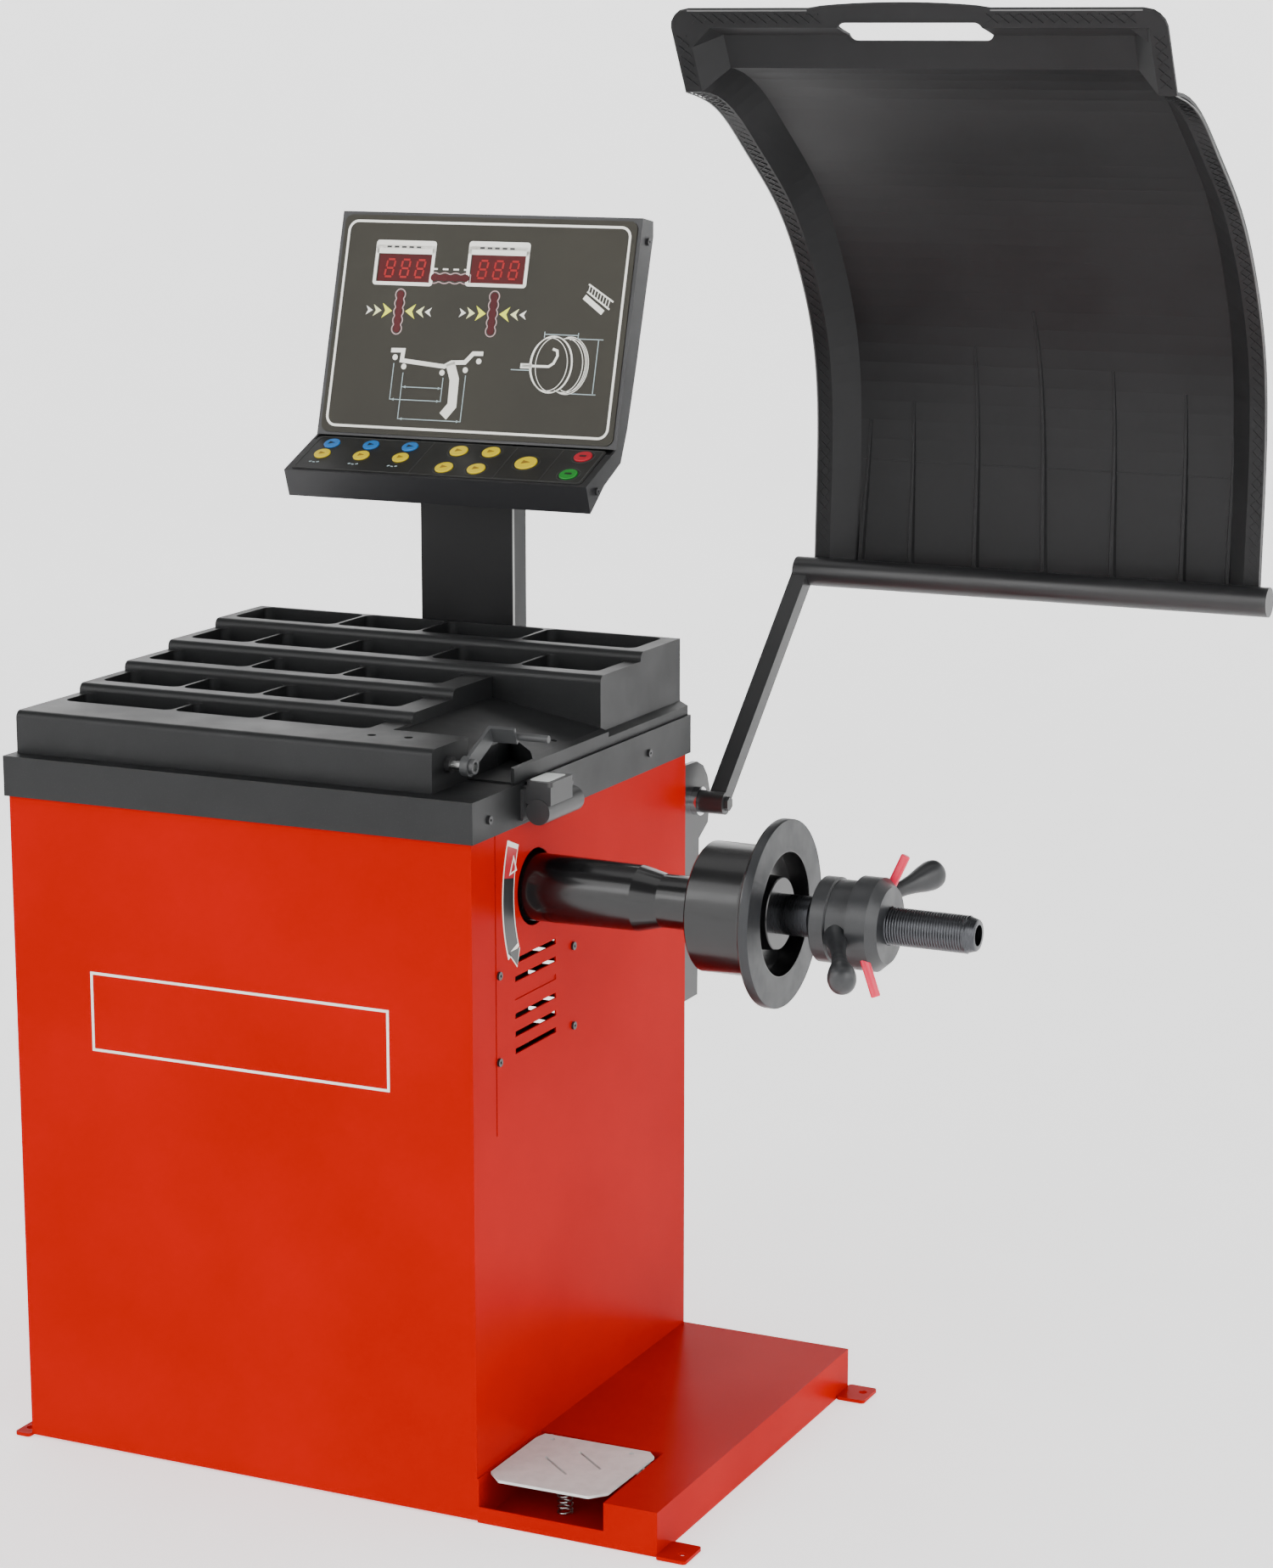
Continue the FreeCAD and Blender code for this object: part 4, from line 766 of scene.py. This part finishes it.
    def key_deck(self) -> None:
        """Rings round the keys, marks on them, small icons under them, and the zone lines."""
        rings = [self.line(circle(u, v, r + 3.2, None, 40).tolist(), 0.5, True)
                 for name, (u, v, r) in self.keys.items() if r > 10]
        zones = [[(165, 6), (165, 80)], [(276, 6), (276, 80)], [(336, 6), (336, 80)]]
        rings += [self.line(rounded_box(10, 6, 388, 80, 5), 0.7, True)]
        self.put("deck_lines", rings + [self.line(zone, 0.5) for zone in zones], GREY_INK, panel=Plane.DECK)
        for name, (u, v, r) in self.keys.items():
            mark = self.solid(np.array([[u - r * 0.35, v + r * 0.3], [u - r * 0.35, v - r * 0.3],
                                        [u + r * 0.4, v]]))
            if name in ("key_stop", "key_enter"):
                mark = self.solid(rounded_box(u - r * 0.4, v - r * 0.16, u + r * 0.4, v + r * 0.16, 1.0))
            ink = BROWN_INK if name.startswith(("key_small", "key_yellow", "key_start")) else DECK_FILM
            self.put(f"{name}_mark", [mark], ink, lift=1.6, panel=Plane.DECK, body=f"{name}_cap")
        icons = [self.line([(u - 8 + 5 * k, 66), (u - 5 + 5 * k, 64.5 + (k % 2) * 2)], 1.4)
                 for u in (32, 85, 138) for k in range(3)]
        self.put("deck_icons", icons, PALE_INK, panel=Plane.DECK)


@dataclass
class Spindle:
    """The shaft with its real thread, and the turned edges of the flange."""

    start: float = 576.0
    centre: tuple[float, float] = (146.8, 674.1)
    pitch: float = 3.0
    depth: float = 1.1

    def build(self) -> None:
        """Make the threaded shaft in place of its plain cylinder.

        The radius at (x, turn) is 20 less the thread's depth times a triangle wave of x / pitch less the
        share of a turn; it fades to the plain radius at both ends.
        """
        around = 64
        thread = np.arange(331, 496.01, self.pitch / 6)
        x = np.concatenate([[-300, -300, -299, 206, 206.05, 324.9, 325, 330.5], thread, [497.5, 505, 506, 506,
                                                                                    476, 472]])
        r = np.concatenate([[1, 14, 15, 15, 21.5, 21.5, 18.5, 18.5], np.full(len(thread), 20.0),
                            [18.6, 16.6, 15.5, 11, 11, 1]])
        turn = np.linspace(0, 2 * math.pi, around, endpoint=False)
        wave = np.abs(((x[:, None] / self.pitch - turn[None, :] / (2 * math.pi)) % 1.0) * 2 - 1)
        fade = np.clip((x - 331) / 2, 0, 1) * np.clip((496 - x) / 3, 0, 1)
        radius = r[:, None] - self.depth * (1 - wave) * fade[:, None]
        points = np.stack([np.repeat(self.start + x[:, None], around, 1),
                           self.centre[0] + radius * np.cos(turn),
                           self.centre[1] + radius * np.sin(turn)], -1).reshape(-1, 3)
        last = (len(x) - 1) * around
        faces = tube_faces(len(x), around).tolist() + [list(range(around))[::-1],
                                                       list(range(last, last + around))]
        shaft = piece("threaded_shaft", points, faces, "spindle", OXIDE_STEEL, "oxide_steel", crease=60)
        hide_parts("main_shaft")
        edge = lathe(np.array([(291.2, 98.2), (292.1, 98.2), (292.1, 99.3), (291.2, 99.7), (283, 99.7),
                               (283, 99.52), (291.2, 98.2)]) + [self.start, 0], self.centre)
        face = lathe(np.array([(291.9, 66.5), (292.1, 66.5), (292.1, 98.1), (291.9, 98.1), (291.9, 66.5)])
                     + [self.start, 0], self.centre)
        for name, (points, faces) in (("flange_edge", edge), ("flange_face", face)):
            piece(name, points, faces[:-2], "spindle", FLANGE_STEEL, "oxide_steel")


@dataclass
class Nut:
    """The quick nut's two grips, each a paddle that swells from a narrow neck."""

    start: float = 576.0
    centre: tuple[float, float] = (146.8, 674.1)
    tilt: float = 12.0
    shares: tuple[float, ...] = (0.0, 0.1, 0.22, 0.38, 0.5, 0.62, 0.74, 0.84, 0.92, 0.97, 1.0)
    radii: tuple[float, ...] = (15.0, 11.5, 9.2, 8.2, 8.8, 11.0, 14.4, 16.4, 15.4, 10.5, 1.0)

    def build(self) -> None:
        """Sweep each grip along its straight line, a little flatter along the spindle than across it."""
        parts = []
        share = np.linspace(0, 1, 45)
        radius = np.interp(share, self.shares, self.radii)
        radius[1:-1] = (radius[:-2] + 2 * radius[1:-1] + radius[2:]) / 4
        turn = np.linspace(0, 2 * math.pi, 32, endpoint=False)
        for sign in (1, -1):
            away = math.radians(self.tilt)
            out = np.array([0, sign * math.cos(away), sign * math.sin(away)])
            foot, tip = np.array([366.0, 0, 0]) + out * 40, np.array([414.0, 0, 0]) + out * 142.5
            run = (tip - foot) / np.linalg.norm(tip - foot)
            side = np.cross(run, (1.0, 0.0, 0.0))
            side /= np.linalg.norm(side)
            other = np.cross(run, side)
            ring = (np.cos(turn)[:, None] * side + 0.92 * np.sin(turn)[:, None] * other)
            points = foot + (tip - foot) * share[:, None, None] + radius[:, None, None] * ring[None]
            points = points.reshape(-1, 3) + [self.start, *self.centre]
            last = (len(share) - 1) * 32
            faces = tube_faces(len(share), 32).tolist()
            parts.append((points, faces + [list(range(32))[::-1], list(range(last, last + 32))]))
        grips = piece("nut_grips", *merged(parts), "nut_turner", NUT_NYLON, "nut_plastic", crease=60)
        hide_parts("nut_handles")


@dataclass
class Hood:
    """The guard's moulded marks: the cross ribs of its rim and the seam of its back, and a painted highlight
    along its edge.

    The rim line is the curve through `rim`, then straight up to `top`; every mark is laid on the side
    that faces the wheel.
    """

    left: float = 611.0
    right: float = 1171.0
    rim: tuple[tuple[float, float], ...] = (
        (838, 934), (841.5, 1020), (843, 1110), (828, 1203), (782, 1293), (720, 1367), (613, 1444),
        (535, 1491), (454, 1510))
    top: tuple[float, float] = (404.0, 1598.0)
    step: float = 12.5
    strip: tuple[float, float] = (3.0, 18.0)

    def curve(self, count: int = 36) -> np.ndarray:
        """The curved part of the rim line: a natural cubic through the rim's points.

        The second slopes solve the usual three-term equations over the chord lengths.
        """
        knots = np.array(self.rim)
        at = np.concatenate([[0], np.cumsum(np.linalg.norm(np.diff(knots, axis=0), axis=1))])
        step = np.diff(at)
        size = len(at)
        left, right = np.eye(size), np.zeros((size, 2))
        for k in range(1, size - 1):
            left[k, k - 1:k + 2] = step[k - 1], 2 * (step[k - 1] + step[k]), step[k]
            right[k] = 6 * ((knots[k + 1] - knots[k]) / step[k] - (knots[k] - knots[k - 1]) / step[k - 1])
        bend = np.linalg.solve(left, right)
        want = np.linspace(0, at[-1], count)
        k = np.clip(np.searchsorted(at, want, "right") - 1, 0, size - 2)
        a, b, h = (at[k + 1] - want)[:, None], (want - at[k])[:, None], step[k][:, None]
        return ((a ** 3 * bend[k] + b ** 3 * bend[k + 1]) / (6 * h) + (knots[k] / h - h * bend[k] / 6) * a
                + (knots[k + 1] / h - h * bend[k + 1] / 6) * b)

    def lay(self, line: np.ndarray, marks: list) -> tuple[np.ndarray, list]:
        """Bend flat marks onto a line: their v is the distance along it, their w the height off it.

        Args:
            line: points (y, z) of the line.
            marks: (points, faces) pairs in x, v and w.

        Returns:
            Points in millimetres from the cabinet's corner, and faces.
        """
        points, faces = merged(marks)
        at = np.concatenate([[0], np.cumsum(np.linalg.norm(np.diff(line, axis=0), axis=1))])
        slope = np.gradient(line, at, axis=0)
        slope /= np.linalg.norm(slope, axis=1, keepdims=True)
        spot = [np.interp(points[:, 1], at, line[:, k]) for k in (0, 1)]
        run = [np.interp(points[:, 1], at, slope[:, k]) for k in (0, 1)]
        return np.stack([points[:, 0], spot[0] - run[1] * points[:, 2], spot[1] + run[0] * points[:, 2]],
                        1), faces

    def crosses(self, left: float, right: float, low: float, high: float) -> list:
        """Saltire ribs that fill a strip, one in each square of it."""
        marks = []
        upright = right - left < high - low
        half = (right - left if upright else high - low) / 2
        first, last = (low, high) if upright else (left, right)
        spots = np.arange(first + half, last - half + 0.1, self.step)
        centres = [((left + right) / 2, v) if upright else (v, (low + high) / 2) for v in spots]
        for x, v in centres:
            for sign in (1, -1):
                reach = np.array([half, sign * half]) * 0.8
                marks.append(stroke(np.array([(x, v) - reach, (x, v) + reach]), 1.3, -0.3, 0.7))
        return marks

    def build(self) -> None:
        """Lay the cross ribs on both sides and the top, the painted highlights along the edges, and the seam.
        """
        line = self.curve()
        flat = np.array([line[-1], self.top])
        length = np.linalg.norm(np.diff(line, axis=0), axis=1).sum()
        near, far = self.strip
        rims = ((self.left + near, self.left + far), (self.right - far, self.right - near))
        sides = [mark for rim in rims for mark in self.crosses(*rim, 14, length - 8)]
        ends = np.linalg.norm(flat[1] - flat[0])
        upper = [mark for rim in rims for mark in self.crosses(*rim, 6, ends - 24)]
        upper += self.crosses(self.left + 26, 800, ends - 18, ends - 4)
        upper += self.crosses(975, self.right - 26, ends - 18, ends - 4)
        points, faces = merged([self.lay(line, sides), self.lay(flat, upper)])
        piece("rim_cross_ribs", points, faces, "hood", HOOD_PLASTIC, "black_plastic")
        # Painted highlight: grey strips along both side edges and the crest of the rim stand in for light on
        # the rolled edge.
        edges = []
        for x in (self.left + 0.9, self.right - 0.9):
            path = np.array([(x, v) for v in np.linspace(1, length, 60)])
            edges.append(self.lay(line, [stroke(path, 1.6, -0.4, 0.9)]))
        crest = np.array([(self.left + 24, ends - 0.9), (775, ends - 0.9)])
        other = np.array([(982, ends - 0.9), (self.right - 24, ends - 0.9)])
        edges.append(self.lay(flat, [stroke(crest, 1.6, -0.4, 0.9), stroke(other, 1.6, -0.4, 0.9)]))
        piece("rim_edge_highlight", *merged(edges), "hood", HOOD_EDGE_HIGHLIGHT, "black_plastic")
        back = line + 27 * np.stack([np.gradient(line[:, 1]), -np.gradient(line[:, 0])], 1) / np.hypot(
            np.gradient(line[:, 1]), np.gradient(line[:, 0]))[:, None]
        seam = np.array([(self.left + 50, 130), (self.right - 50, 130)], float)
        points, faces = self.lay(back, [stroke(seam, 1.2, -0.3, 0.6)])
        piece("back_seam", points, faces, "hood", HOOD_PLASTIC, "black_plastic")


@dataclass
class Brake:
    """The pedal's return spring as a real coil."""

    at: tuple[float, float] = (652.0, 60.0)
    low: float = 3.2
    high: float = 45.6
    coil: float = 8.0
    wire: float = 1.1

    def build(self) -> None:
        """A helix: the angle grows evenly with height, with flat turns at both ends."""
        share = np.linspace(0, 1, 260)
        rise = self.low + (self.high - self.low) * np.clip((share - 0.08) / 0.84, 0, 1)
        turn = share * 2 * math.pi * 8
        path = np.stack([self.at[0] + self.coil * np.cos(turn),
                         self.at[1] + self.coil * np.sin(turn), rise], 1)
        points, faces = pipe(path, self.wire)
        spring = piece("return_coil", points, faces, "machine", BRIGHT_STEEL, "bright_steel")
        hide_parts("pedal_spring")
        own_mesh(spring)


@dataclass
class Studio:
    """The pale floor, the soft lights (name, place, watts and size of each) and the camera."""

    eye: tuple[float, float, float] = (1.8971, -3.5063, 1.5822)
    azimuth: float = 25.331
    elevation: float = 11.834
    lens: float = 83.2
    world_light: float = 0.3
    lights: tuple[tuple[str, tuple[float, float, float], float, float], ...] = (
        ("key", (-1.6, -3.4, 3.4), 50, 2.4), ("side", (3.6, -1.4, 2.4), 38, 2.2),
        ("top", (0.2, 0.4, 4.2), 30, 3.0))

    def build(self) -> None:
        """Set the floor, the world, three area lights and the camera."""
        paper = Finish("studio_paper", "ffffff", "fdfdfd", (0.8, 0.9), grain_mm=3, grain=0.02, glow=0.9)
        turn = np.linspace(0, 2 * math.pi, 96, endpoint=False)
        rings = np.array([(0.05, 0), (4, 0), (6.5, 0), (7.4, 0.15), (8.2, 0.7), (8.7, 1.6), (9, 3), (9.1, 7)])
        points = np.stack([rings[:, :1] * np.cos(turn), rings[:, :1] * np.sin(turn),
                           np.repeat(rings[:, 1:] - 0.001, 96, 1)], -1).reshape(-1, 3)
        mesh = bpy.data.meshes.new("floor")
        mesh.from_pydata(points.tolist(), [], tube_faces(len(rings), 96).tolist() + [list(range(96))])
        mesh.polygons.foreach_set("use_smooth", np.ones(len(mesh.polygons), bool))
        mesh.materials.append(paper.build())
        floor = bpy.data.objects.new("floor", mesh)
        bpy.context.scene.collection.objects.link(floor)
        world = bpy.data.worlds.new("studio")
        world.use_nodes = True
        world.node_tree.nodes["Background"].inputs[0].default_value = (1, 1, 1, 1)
        world.node_tree.nodes["Background"].inputs[1].default_value = self.world_light
        bpy.context.scene.world = world
        target = Vector((0.1, 0.1, 0.8))
        for name, place, energy, size in self.lights:
            light = bpy.data.lights.new(name, "AREA")
            light.energy, light.size = energy, size
            lamp = bpy.data.objects.new(name, light)
            lamp.location = place
            lamp.rotation_euler = (target - Vector(place)).to_track_quat("-Z", "Y").to_euler()
            bpy.context.scene.collection.objects.link(lamp)
        camera = bpy.data.cameras.new("camera")
        camera.lens, camera.sensor_width, camera.clip_end = self.lens, 36, 60
        eye = bpy.data.objects.new("camera", camera)
        eye.location = self.eye
        eye.rotation_euler = Euler((math.radians(90 - self.elevation), 0, math.radians(self.azimuth)))
        bpy.context.scene.collection.objects.link(eye)
        bpy.context.scene.camera = eye


def dress_nodes() -> None:
    """Give every carried-over node its finish."""
    for finish, names in NODE_FINISHES.items():
        for name in names:
            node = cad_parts[name]
            node.data.materials.clear()
            node.data.materials.append(finish.build())
    bare = set(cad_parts) - {name for names in NODE_FINISHES.values() for name in names}
    if bare:
        raise ValueError(f"no finish for {sorted(bare)}")


def main() -> None:
    """Dress the nodes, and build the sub-assemblies and the studio."""
    logging.basicConfig(level=logging.INFO, format="%(message)s")
    Studio().build()
    dress_nodes()
    for part in (Cabinet(), Display(), Spindle(), Nut(), Hood(), Brake()):
        part.build()
        log.info("%s done", type(part).__name__)


if __name__ == "__main__":
    main()
